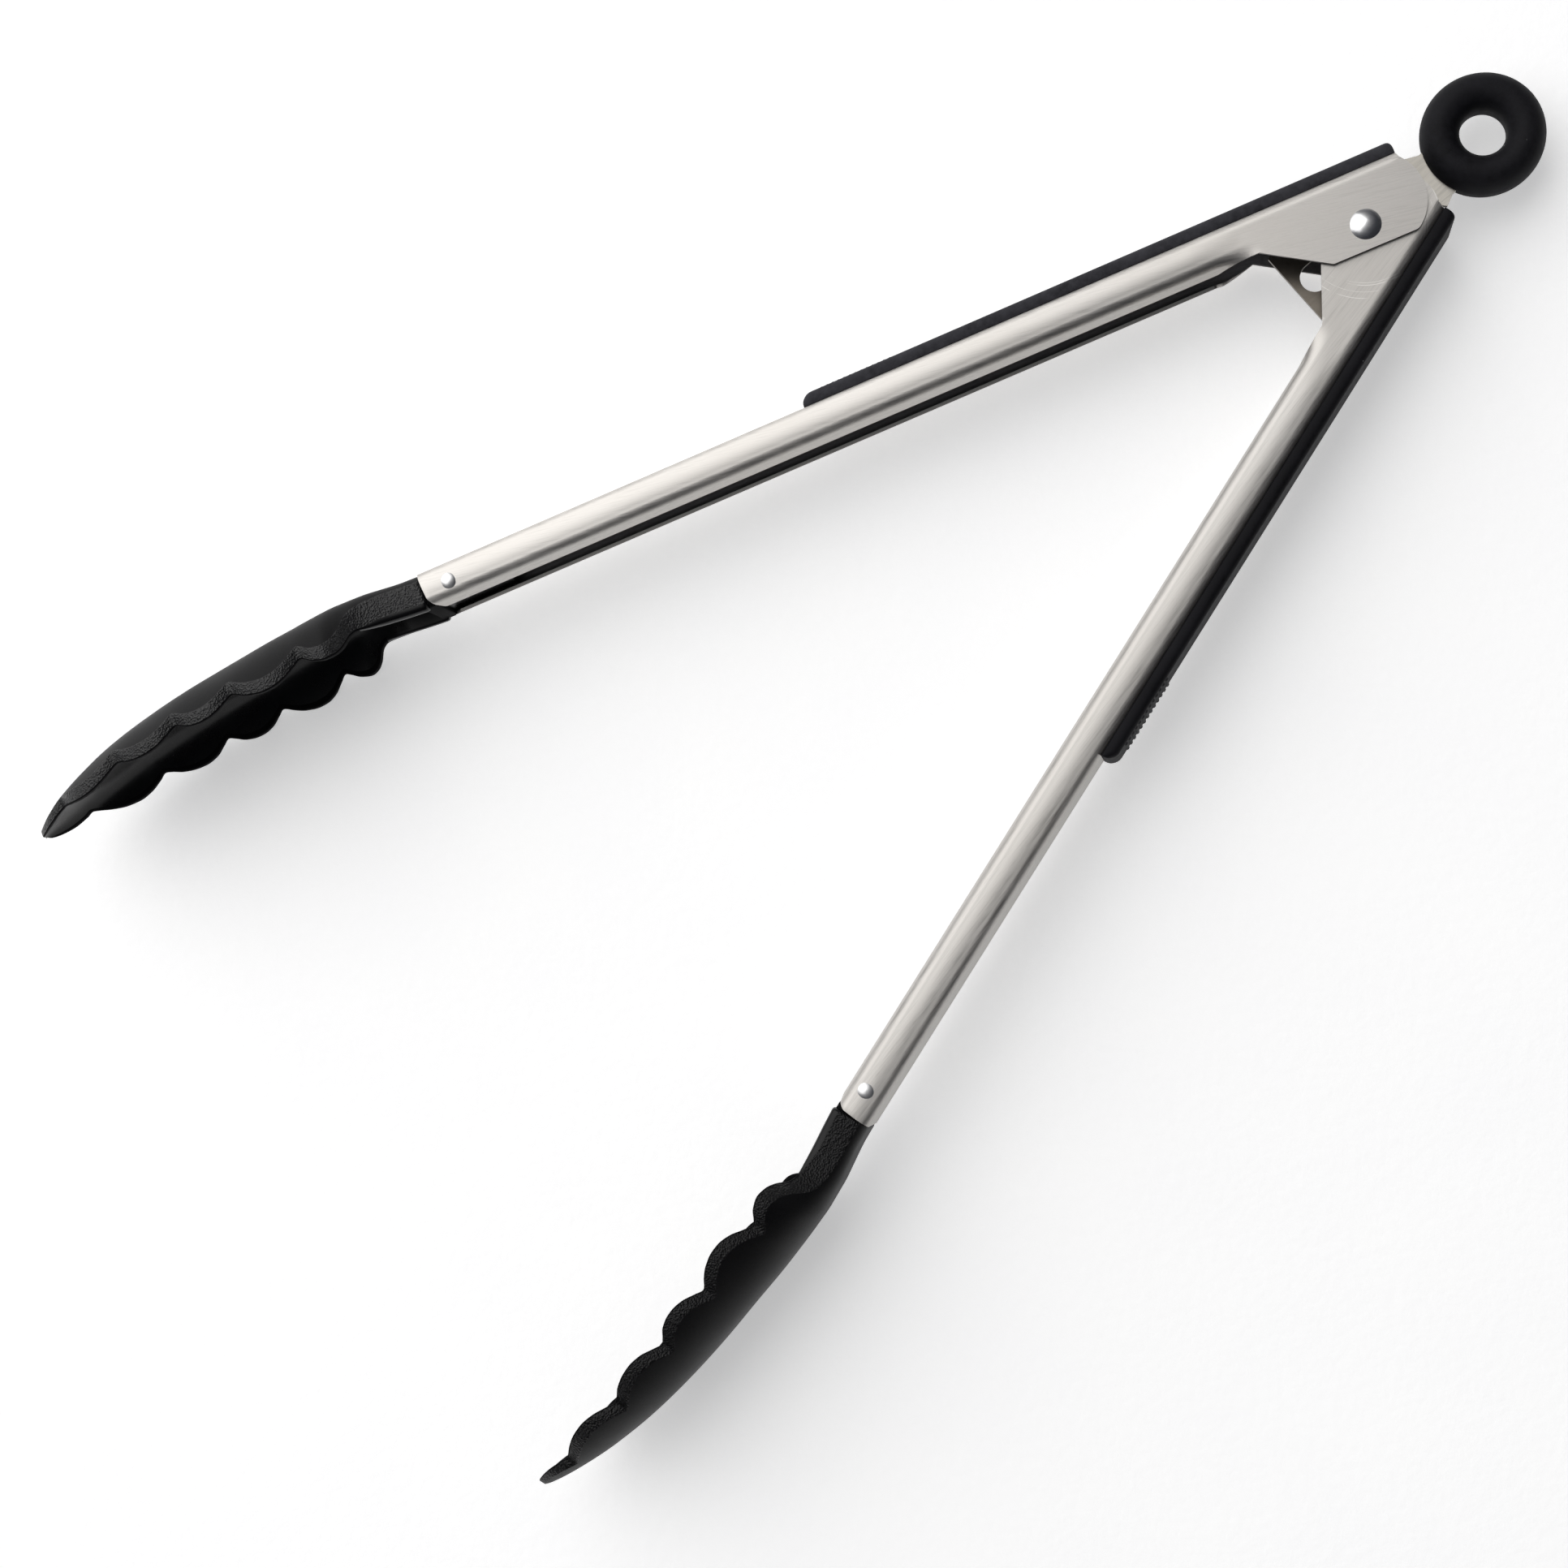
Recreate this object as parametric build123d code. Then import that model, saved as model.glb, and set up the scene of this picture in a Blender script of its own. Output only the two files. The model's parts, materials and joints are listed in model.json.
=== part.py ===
from build123d import *
import math
import os

os.makedirs("parts", exist_ok=True)

# ---------------------------------------------------------------- dimensions (mm, degrees)
HALF_OPEN = 20.03        # bisector to the pivot-to-head-rivet line of each arm
SKEW = 2.1               # channel axis against the pivot-to-head-rivet line
SHEET = 0.7              # steel thickness
OUTER_HALF = 9.5         # half width of the outer arm, outside
INNER_HALF = 8.62        # half width of the inner arm, outside
BACK = 11.44             # pivot axis to the outside of the back
DEPTH = 8.1              # back to the edge of the lips
R_BACK = 2.0             # outside bend radius at the back
R_LIP = 2.2              # outside bend radius at the lips
LIP_ANGLE = 78.0         # how far the lips are bent
LIP_FLAT = 2.6           # flat part of each lip
CH_END = 205.9           # pivot to the steel's head end, along the channel
RIVET_U = 200.0          # pivot to the head rivet

PIN_R = 2.2
PIN_HEAD_R = 3.12
PIN_HEAD_H = 1.15
EAR_DROP = 2.6           # how much lower the far wall's ear stands
RUN_FIT = 0.05           # radial running clearance
SLEEVE_R = 3.0
SLEEVE_HALF = 7.8

WIRE_R = 0.6
COIL_R = 4.4
COIL_TURNS = 3
COIL_PITCH = 1.35
COIL_Z = -6.9

PLATE_T = 1.2
TRAVEL = 12.5            # lock plate travel
RING_BACK = 31.0         # pivot to the ring's centre
RING_R = 12.5
RING_HOLE_R = 4.65
RING_H = 11.0

GRIP_PROUD = 2.8
GRIP_HALF = 8.1
GRIP_S0 = -11.0
GRIP_S1 = 117.6
PEG_S = (35.0, 60.0, 85.0, 108.0)
PEG_R = 2.0
RIB_PITCH = 1.27
RIB_COUNT = 13
RIB_S0 = 97.6

HEAD_RIVET_R = 1.5
HEAD_RIVET_HEAD_R = 1.75
HEAD_RIVET_HEAD_H = 0.55

X_SHIFT = -124.5        # pivot-centred frame to the shared frame
Z_SHIFT = 18.06

SD, CD = math.sin(math.radians(SKEW)), math.cos(math.radians(SKEW))


def to_sn(u, v):
    """Arm line coordinates to channel coordinates."""
    return (u * CD + v * SD, -u * SD + v * CD)


def poly_face(points, plane=Plane.XY):
    return plane * make_face(Polyline(*points, close=True))


def cyl_z(r, z0, z1, x=0.0, y=0.0):
    return Pos(x, y, (z0 + z1) / 2) * Cylinder(r, z1 - z0)


def cyl_y(r, y0, y1, x=0.0, z=0.0):
    return Pos(x, (y0 + y1) / 2, z) * (Rot(90, 0, 0) * Cylinder(r, y1 - y0))


# ---------------------------------------------------------------- arms
def make_arm(half, pin_hole_r, far):
    phi = math.radians(LIP_ANGLE)
    n_side = -BACK + DEPTH - (R_LIP * math.sin(phi) + LIP_FLAT * math.cos(phi))
    a = to_sn(21.43, -2.43)
    b = to_sn(8.57, 5.23)
    c = to_sn(-9.3, 4.69)
    nose = to_sn(-13.5, -3.2)
    tail = (-10.9, -BACK)

    outline = Wire([
        Line(tail, (CH_END, -BACK)).edge(),
        Line((CH_END, -BACK), (CH_END - 0.3, n_side)).edge(),
        Line((CH_END - 0.3, n_side), (a[0], n_side)).edge(),
        Line((a[0], n_side), a).edge(),
        Line(a, b).edge(),
        Line(b, c).edge(),
        ThreePointArc(c, nose, tail).edge(),
    ])
    body = extrude(Face(outline), amount=half, both=True)
    back_edges = [e for e in body.edges().filter_by(Axis.X)
                  if abs(e.center().Y + BACK) < 1e-3 and abs(abs(e.center().Z) - half) < 1e-3]
    body = fillet(back_edges, R_BACK)
    corner = [e for e in body.edges().filter_by(Axis.Z)
              if math.hypot(e.center().X - c[0], e.center().Y - c[1]) < 1e-3]
    body = fillet(corner, 1.5)

    hollow = Pos((CH_END - 10) / 2, -BACK + SHEET + 15, 0) * Box(CH_END + 40, 30, 2 * (half - SHEET))
    low = [e for e in hollow.edges().filter_by(Axis.X) if e.center().Y < -BACK + SHEET + 1e-3]
    hollow = fillet(low, R_BACK - SHEET)
    body = body - hollow

    # lips: bend and flat, both sides
    cw = half - R_LIP
    def at(angle, r):
        return (n_side + r * math.sin(angle), cw + r * math.cos(angle))
    p1 = at(phi, R_LIP)
    p2 = (p1[0] + LIP_FLAT * math.cos(phi), p1[1] - LIP_FLAT * math.sin(phi))
    p3 = (p2[0] - SHEET * math.sin(phi), p2[1] - SHEET * math.cos(phi))
    p4 = at(phi, R_LIP - SHEET)
    lip_wire = Wire([
        Line((n_side - 0.4, half), (n_side, half)).edge(),
        ThreePointArc((n_side, half), at(phi / 2, R_LIP), p1).edge(),
        Line(p1, p2).edge(),
        Line(p2, p3).edge(),
        Line(p3, p4).edge(),
        ThreePointArc(p4, at(phi / 2, R_LIP - SHEET), (n_side, half - SHEET)).edge(),
        Line((n_side, half - SHEET), (n_side - 0.4, half - SHEET)).edge(),
        Line((n_side - 0.4, half - SHEET), (n_side - 0.4, half)).edge(),
    ])
    lip = extrude(Plane.YZ * Face(lip_wire), amount=CH_END - 0.3 - a[0], dir=(1, 0, 0))
    lip = Pos(a[0], 0, 0) * lip
    w_edge = p3[1] - 0.5
    start = extrude(Plane.XZ * make_face(Polyline(
        (a[0] - 1, half - 0.35), (a[0] + 0.01, half - 0.35), (a[0] + 4.6, w_edge), (a[0] - 1, w_edge), close=True)),
        amount=20, both=True)
    end = extrude(Plane.XZ * make_face(Polyline(
        (CH_END + 1, half - 1.2), (CH_END - 0.3, half - 1.2), (CH_END - 2.6, w_edge), (CH_END + 1, w_edge), close=True)),
        amount=20, both=True)
    lip = lip - start - end
    body = body + lip + mirror(lip, Plane.XY)

    # the far wall's ear stands lower than the near one's
    c1 = (c[0] + 2.4 * (b[0] - c[0]) / math.dist(b, c), c[1] + 2.4 * (b[1] - c[1]) / math.dist(b, c))
    trim = extrude(poly_face([
        c1, (c1[0], c1[1] + 1.5), (b[0], b[1] + 1.5), (a[0] + 0.05, a[1] + 1.5),
        (a[0] + 0.05, a[1] - EAR_DROP), (b[0], b[1] - EAR_DROP)]), amount=SHEET + 1.5)
    base = half - SHEET - 0.5
    trim = Pos(0, 0, base) * trim if far > 0 else Pos(0, 0, -base - SHEET - 1.5) * trim
    body = body - trim

    # holes
    body = body - cyl_z(pin_hole_r, -15, 15)
    rs, rn = to_sn(RIVET_U, 0)
    body = body - cyl_z(HEAD_RIVET_R, -15, 15, rs, rn)
    for s in PEG_S:
        body = body - cyl_y(PEG_R, -BACK - 3, -BACK + 3, s)
    return Rot(0, 0, SKEW) * body


# ---------------------------------------------------------------- grips
def make_grip():
    length = GRIP_S1 - GRIP_S0
    pad = Pos((GRIP_S0 + GRIP_S1) / 2, -BACK - GRIP_PROUD / 2, 0) * Box(length, GRIP_PROUD, 2 * GRIP_HALF)
    top = -BACK - GRIP_PROUD
    ends = [e for e in pad.edges().filter_by(Axis.Z) if abs(e.center().Y - top) < 1e-3 and e.center().X > 100]
    pad = fillet(ends, 2.2)
    ends = [e for e in pad.edges().filter_by(Axis.Z) if abs(e.center().Y - top) < 1e-3 and e.center().X < 0]
    pad = fillet(ends, 0.9)
    side = [e for e in pad.edges() if e.center().Y < -BACK - 0.3 and abs(abs(e.center().Z) - GRIP_HALF) < 1e-3
            and abs(e.center().Y - top) < 1.6 and e.length > 1.0]
    try:
        pad = fillet([e for e in side if e.length > 50], 1.3)
    except Exception:
        pass
    for i in range(RIB_COUNT):
        s = RIB_S0 + i * RIB_PITCH
        rib = Pos(s, top + 0.12, 0) * Cylinder(0.42, 2 * (GRIP_HALF - 2.0))
        pad = pad + rib
    for s in PEG_S:
        pad = pad + cyl_y(PEG_R, -BACK - 0.5, -BACK + SHEET, s)
        pad = pad + cyl_y(PEG_R + 1.0, -BACK + SHEET, -BACK + SHEET + 0.9, s)
    return Rot(0, 0, SKEW) * pad


# ---------------------------------------------------------------- heads
BACK_LINE = [(206.25, -3.88), (210, -3.85), (215, -4.15), (220, -4.5), (225, -4.5), (230, -4.15), (240, -2.95),
             (250, -1.25), (260, 0.45), (270, 2.6), (280, 5.35), (290, 9.1), (296, 12.0), (300, 14.2),
             (303, 16.1), (304.5, 17.2)]
RIM_WIDE = [(206.25, 0.0), (214, 0.1), (219, 0.7), (222, 2.0), (225, 4.1), (228.5, 6.2), (234, 6.8), (242, 7.55),
            (250, 7.85), (258, 7.7), (264, 7.45), (272, 6.75), (279, 5.8), (285, 4.4), (290, 2.7), (295, 0.3),
            (299, -2.3), (302, -4.7), (304, -6.9), (304.5, -7.6)]
RIM_TOP = [(206.25, 4.3), (210, 4.15), (214, 3.9), (219, 3.55), (221.5, 3.4), (223, 4.0), (225, 6.3), (226.5, 7.3),
           (228.5, 7.75), (231, 7.2), (233, 6.0), (233.9, 5.6), (235.5, 6.7), (238, 8.6), (240.5, 9.6),
           (242.8, 9.85), (245.5, 9.5), (248, 8.6), (249.3, 7.9), (250.0, 7.7), (251.5, 8.6), (254, 10.2),
           (256.5, 11.0), (258.2, 11.15), (260.5, 10.85), (262.6, 9.9), (263.7, 9.5), (265.3, 10.4), (268, 12.1),
           (271, 13.0), (273.2, 13.15), (275.8, 12.9), (278, 12.2), (279.1, 12.0), (281, 13.1), (284, 14.8),
           (287, 15.8), (290, 16.1), (292.5, 15.9), (294.3, 15.6), (295.3, 15.5), (297, 16.3), (300, 17.7),
           (302.5, 18.5), (304.5, 18.9)]
BAND_H = [(206.25, 5.6), (216, 5.4), (220, 5.0), (224, 4.0), (228, 3.2), (232, 2.8), (290, 2.8), (296, 2.4),
          (300, 2.0), (304.5, 1.3)]
FLARE = [(206.25, 7.0), (216, 7.0), (222, 5.0), (228, 3.6), (236, 3.0), (285, 3.0), (295, 2.5), (304.5, 2.2)]
FLOOR_T = [(206.25, 2.3), (288, 2.3), (296, 2.0), (300, 1.9), (303, 1.6), (304.5, 1.35)]
RIM_T = [(206.25, 2.4), (218, 2.4), (226, 1.6), (232, 1.3), (295, 1.3), (300, 1.1), (304.5, 0.7)]
INNER_POW = [(206.25, 9.0), (216, 9.0), (224, 6.0), (232, 4.6), (285, 4.5), (295, 3.5), (304.5, 2.5)]


TOP_LINE = [(206.25, 4.3), (210, 4.15), (214, 3.9), (219, 3.55), (221.5, 3.6), (224.5, 5.2), (228, 6.3), (234, 7.1),
            (242, 8.3), (250, 9.1), (257, 10.0), (264, 10.8), (272, 12.1), (279, 13.3), (288, 15.2), (295.3, 16.3),
            (300, 17.7), (302.5, 18.5), (304.5, 18.9)]     # the rim's mean line, without the scallops


def lin(table, u):
    if u <= table[0][0]:
        return table[0][1]
    for (a, fa), (b, fb) in zip(table, table[1:]):
        if u <= b:
            return fa + (fb - fa) * (u - a) / (b - a)
    return table[-1][1]


def smooth(table, u):
    """Catmull-Rom value of a table, monotone safe enough for the gentle tables."""
    n = len(table)
    if u <= table[0][0]:
        return table[0][1]
    if u >= table[-1][0]:
        return table[-1][1]
    i = max(k for k in range(n - 1) if table[k][0] <= u)
    x0, y0 = table[i]
    x1, y1 = table[i + 1]
    def slope(k):
        if k == 0:
            return (table[1][1] - table[0][1]) / (table[1][0] - table[0][0])
        if k == n - 1:
            return (table[-1][1] - table[-2][1]) / (table[-1][0] - table[-2][0])
        a = (table[k][1] - table[k - 1][1]) / (table[k][0] - table[k - 1][0])
        b = (table[k + 1][1] - table[k][1]) / (table[k + 1][0] - table[k][0])
        if a * b <= 0:
            return 0.0
        return 2 * a * b / (a + b)
    h = x1 - x0
    t = (u - x0) / h
    m0, m1 = slope(i) * h, slope(i + 1) * h
    return ((2 * t**3 - 3 * t**2 + 1) * y0 + (t**3 - 2 * t**2 + t) * m0
            + (-2 * t**3 + 3 * t**2) * y1 + (t**3 - t**2) * m1)


def head_section(u, half):
    """Section of the scoop at u. The shell and the hollow are smooth; the scallops only cut them lower or higher."""
    vb = smooth(BACK_LINE, u)
    stem = max(0.0, min(1.0, (232 - u) / 20))
    wide = 9.5 + smooth(RIM_WIDE, u) - (9.5 - half) * stem
    top = smooth(RIM_TOP, u)
    mean = smooth(TOP_LINE, u)
    band = lin(BAND_H, u)
    low = top - band
    k = lin(FLARE, u)
    wr = wide * ((low - vb) / (mean - band - vb)) ** (1 / k)
    taus = (0.0, 0.3, 0.52, 0.7, 0.84, 0.94, 1.0)
    outer_r = [(wr * t, vb + (low - vb) * t**k) for t in taus]
    fl = vb + lin(FLOOR_T, u)
    m = lin(INNER_POW, u)
    wi = (wide - lin(RIM_T, u)) * ((top - fl) / (mean - fl)) ** (1 / m)
    wi = min(wi, wr - 0.75 * lin(RIM_T, u))
    inner_r = [(wi * t, fl + (top - fl) * t**m) for t in taus]

    def pt(w, v):
        return Vector(u, v, w)
    outer = [pt(-w, v) for w, v in reversed(outer_r[1:])] + [pt(w, v) for w, v in outer_r]
    inner = [pt(w, v) for w, v in reversed(inner_r[1:])] + [pt(-w, v) for w, v in inner_r]
    return Wire([
        Spline(*outer).edge(),
        Line(outer[-1], pt(wr, top)).edge(),
        Line(pt(wr, top), inner[0]).edge(),
        Spline(*inner).edge(),
        Line(inner[-1], pt(-wr, top)).edge(),
        Line(pt(-wr, top), outer[0]).edge(),
    ])


def make_head(half):
    stations = [206.25, 210, 214, 218, 220.5, 222, 223.2, 224.6, 226.4, 228.5, 231, 233, 233.9, 235.5, 238, 240.5,
                242.8, 245.5, 248, 249.3, 250.0, 251.5, 254, 256.5, 258.2, 260.5, 262.6, 263.7, 265.3, 268, 271,
                273.2, 275.8, 278, 279.1, 281, 284, 287, 290, 292.5, 294.3, 295.3, 297, 299, 300.8, 302.4, 303.6, 304.5]
    scoop = Solid.make_loft([head_section(u, half) for u in stations])
    # end wall of the stem and the tenon inside the channel
    wall = Pos(207.15, -0.3, 0) * Box(1.8, 6.6, 2 * (half - 1.3))
    ih = half - SHEET - 0.12
    n0, n1 = -BACK + SHEET + 0.1, -BACK + DEPTH - SHEET - 0.75
    tenon = Pos((188.5 + 205.95) / 2, (n0 + n1) / 2, 0) * Box(205.95 - 188.5, n1 - n0, 2 * ih)
    tenon = fillet([e for e in tenon.edges().filter_by(Axis.X) if e.center().Y < n0 + 1e-3], 1.35)
    tenon = chamfer([e for e in tenon.edges().filter_by(Axis.X) if e.center().Y > n1 - 1e-3], 2.1)
    bridge = Pos(206.0, (n0 + n1) / 2, 0) * Box(2.4, n1 - n0 - 2.0, 2 * (ih - 2.2))
    tenon = Rot(0, 0, SKEW) * (tenon + bridge)
    head = scoop + wall + tenon
    head = head - cyl_z(HEAD_RIVET_R, -15, 15, RIVET_U, 0)
    return head


# ---------------------------------------------------------------- rivets
def dome(r, h, base):
    rs = (r * r + h * h) / (2 * h)
    ball = Pos(0, 0, base + h - rs) * Sphere(rs)
    return ball & (Pos(0, 0, base + h / 2 + 0.5) * Box(4 * r, 4 * r, h + 1.0))


def make_rivet(shaft_r, head_r, head_h, half):
    cap = dome(head_r, head_h, half)
    return Cylinder(shaft_r, 2 * half) + cap + mirror(cap, Plane.XY)


# ---------------------------------------------------------------- spring
def make_spring():
    """Coil round the sleeve, one leg on each arm's back; drawn in the world frame."""
    ch = HALF_OPEN - SKEW
    web = BACK - SHEET
    e_s, e_n = 21.0, -(web - WIRE_R - 0.08)
    dist = math.hypot(e_s, e_n)
    t_ang = math.degrees(math.atan2(e_n, e_s)) - (90 - math.degrees(math.asin(COIL_R / dist))) - ch
    leg_dir = t_ang + 90
    sweep_deg = 360 * COIL_TURNS + (2 * (180 + t_ang))
    height = COIL_PITCH * sweep_deg / 360
    helix = Rot(0, 0, t_ang) * Helix(COIL_PITCH, height, COIL_R, lefthand=True)
    helix = Pos(0, 0, COIL_Z) * helix
    path = helix.edge() if hasattr(helix, "edge") else helix
    prof = Plane(origin=path @ 0, z_dir=path % 0) * Circle(WIRE_R)
    coil = sweep(prof, path=path, is_frenet=True)
    leg_len = math.sqrt(dist * dist - COIL_R * COIL_R)

    def leg(ang, direction, z):
        px, py = COIL_R * math.cos(math.radians(ang)), COIL_R * math.sin(math.radians(ang))
        d = Vector(math.cos(math.radians(direction)), math.sin(math.radians(direction)), 0)
        pl = Plane(origin=Vector(px, py, z) - d * 0.3, z_dir=d)
        return extrude(pl * Circle(WIRE_R), amount=leg_len + 0.3)
    a = leg(t_ang, leg_dir, COIL_Z)
    b = leg(-t_ang, -leg_dir, COIL_Z + height)
    return coil + a + b


# ---------------------------------------------------------------- lock plate and ring
def make_plate():
    half = [(17.2, 9.0), (14.6, 10.35), (11.6, 10.35), (-1.0, 6.1), (-3.6, 4.75), (-14.9, 4.75), (-16.3, 6.5),
            (-18.9, 5.2), (-24.0, 5.2)]
    pts = half + [(x, -y) for x, y in reversed(half)]
    plate = extrude(poly_face(pts), amount=PLATE_T / 2, both=True)
    loop = cyl_z(9.2, -PLATE_T / 2, PLATE_T / 2, -RING_BACK, 0)
    slot = extrude(Pos(TRAVEL / 2, 0, 0) * SlotCenterToCenter(TRAVEL + 0.2, 2 * (SLEEVE_R + RUN_FIT)),
                   amount=5, both=True)
    eye = cyl_z(6.6, -5, 5, -RING_BACK, 0)
    return (plate + loop) - slot - eye


def make_ring(plate):
    h = RING_H / 2
    prof = Wire([
        Line((RING_HOLE_R, -1.1), (RING_HOLE_R, 1.1)).edge(),
        ThreePointArc((RING_HOLE_R, 1.1), (5.85, 4.35), (8.7, h)).edge(),
        ThreePointArc((8.7, h), (11.35, 3.95), (RING_R, 0)).edge(),
        ThreePointArc((RING_R, 0), (11.35, -3.95), (8.7, -h)).edge(),
        ThreePointArc((8.7, -h), (5.85, -4.35), (RING_HOLE_R, -1.1)).edge(),
    ])
    ring = revolve(Plane.XZ * Face(prof), Axis.Z)
    return (Pos(-RING_BACK, 0, 0) * ring) - plate


def outer_place(obj):
    return Rot(0, 0, -HALF_OPEN) * obj


def inner_place(obj):
    return Rot(0, 0, HALF_OPEN) * (Rot(180, 0, 0) * obj)


def at_u(obj, place):
    return place(Pos(RIVET_U, 0, 0) * obj)


plate = make_plate()
grip = make_grip()
nodes = {
    "outer_arm": outer_place(make_arm(OUTER_HALF, PIN_R, -1)),
    "inner_arm": inner_place(make_arm(INNER_HALF, PIN_R + RUN_FIT, 1)),
    "pivot_rivet": make_rivet(PIN_R, PIN_HEAD_R, PIN_HEAD_H, OUTER_HALF),
    "pivot_sleeve": Cylinder(SLEEVE_R, 2 * SLEEVE_HALF) - Cylinder(PIN_R + RUN_FIT, 40),
    "torsion_spring": make_spring(),
    "lock_plate": plate,
    "hanging_ring": make_ring(plate),
    "outer_grip": outer_place(grip),
    "inner_grip": inner_place(grip),
    "outer_head": outer_place(make_head(OUTER_HALF)),
    "inner_head": inner_place(make_head(INNER_HALF)),
    "outer_head_rivet": at_u(make_rivet(HEAD_RIVET_R, HEAD_RIVET_HEAD_R, HEAD_RIVET_HEAD_H, OUTER_HALF), outer_place),
    "inner_head_rivet": at_u(make_rivet(HEAD_RIVET_R, HEAD_RIVET_HEAD_R, HEAD_RIVET_HEAD_H, INNER_HALF), inner_place),
}

for name, obj in nodes.items():
    obj = Pos(X_SHIFT, 0, Z_SHIFT) * obj
    solids = obj.solids()
    shape = solids[0] if len(solids) == 1 else Compound(children=list(solids))
    bb = shape.bounding_box()
    print(name, len(solids), round(sum(s.volume for s in solids), 1), "valid", all(s.is_valid for s in solids) if not callable(getattr(solids[0], "is_valid", None)) else all(s.is_valid() for s in solids),
          [round(v, 2) for v in (bb.min.X, bb.max.X, bb.min.Y, bb.max.Y, bb.min.Z, bb.max.Z)])
    export_step(shape, f"parts/{name}.step")
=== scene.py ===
import bpy
import bmesh
import json
import math
import random
from mathutils import Matrix, Vector

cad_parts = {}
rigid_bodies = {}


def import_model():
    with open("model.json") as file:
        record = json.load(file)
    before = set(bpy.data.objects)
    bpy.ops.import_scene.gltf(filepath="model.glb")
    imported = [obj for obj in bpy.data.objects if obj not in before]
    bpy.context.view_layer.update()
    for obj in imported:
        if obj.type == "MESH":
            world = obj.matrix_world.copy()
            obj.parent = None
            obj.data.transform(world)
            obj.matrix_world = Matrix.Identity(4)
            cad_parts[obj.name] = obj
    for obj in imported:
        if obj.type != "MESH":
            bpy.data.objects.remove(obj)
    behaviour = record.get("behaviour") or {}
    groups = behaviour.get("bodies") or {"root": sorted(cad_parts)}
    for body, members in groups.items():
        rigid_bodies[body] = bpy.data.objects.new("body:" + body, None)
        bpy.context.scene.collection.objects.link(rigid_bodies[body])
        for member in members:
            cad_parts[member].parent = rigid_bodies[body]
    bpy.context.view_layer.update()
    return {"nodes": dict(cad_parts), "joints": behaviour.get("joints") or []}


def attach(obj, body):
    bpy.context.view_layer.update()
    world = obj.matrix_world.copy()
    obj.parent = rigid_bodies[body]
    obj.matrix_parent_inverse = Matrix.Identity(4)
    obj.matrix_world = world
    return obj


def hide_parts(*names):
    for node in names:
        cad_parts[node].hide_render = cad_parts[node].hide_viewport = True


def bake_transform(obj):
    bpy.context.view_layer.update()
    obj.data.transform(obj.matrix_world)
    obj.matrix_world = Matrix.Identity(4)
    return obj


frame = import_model()

random.seed(7)
MM = 0.001

# ------------------------------------------------------------------ the shared frame
pivot = next(j for j in frame["joints"] if j["name"] == "squeeze")["pos_m"]
PX, PZ = pivot[0] / MM, pivot[2] / MM           # pivot axis in mm
HALF_OPEN = math.radians(20.03)
SKEW = math.radians(2.1)
OUTER_HALF, INNER_HALF = 9.5, 8.62
BACK, DEPTH, SHEET = 11.44, 8.1, 0.7


def place(arm, u, v, w):
    """Arm line coordinates in mm to the shared frame in metres."""
    c, s = math.cos(HALF_OPEN), math.sin(HALF_OPEN)
    if arm == "outer":
        x, y, z = u * c + v * s, -u * s + v * c, w
    else:
        x, y, z = u * c + v * s, u * s - v * c, -w
    return Vector(((x + PX) * MM, y * MM, (z + PZ) * MM))


def channel(arm, s, n, w):
    """Channel coordinates (along the channel, outward from the axis, across) to the shared frame."""
    cs, ss = math.cos(SKEW), math.sin(SKEW)
    return place(arm, s * cs - n * ss, s * ss + n * cs, w)


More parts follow.
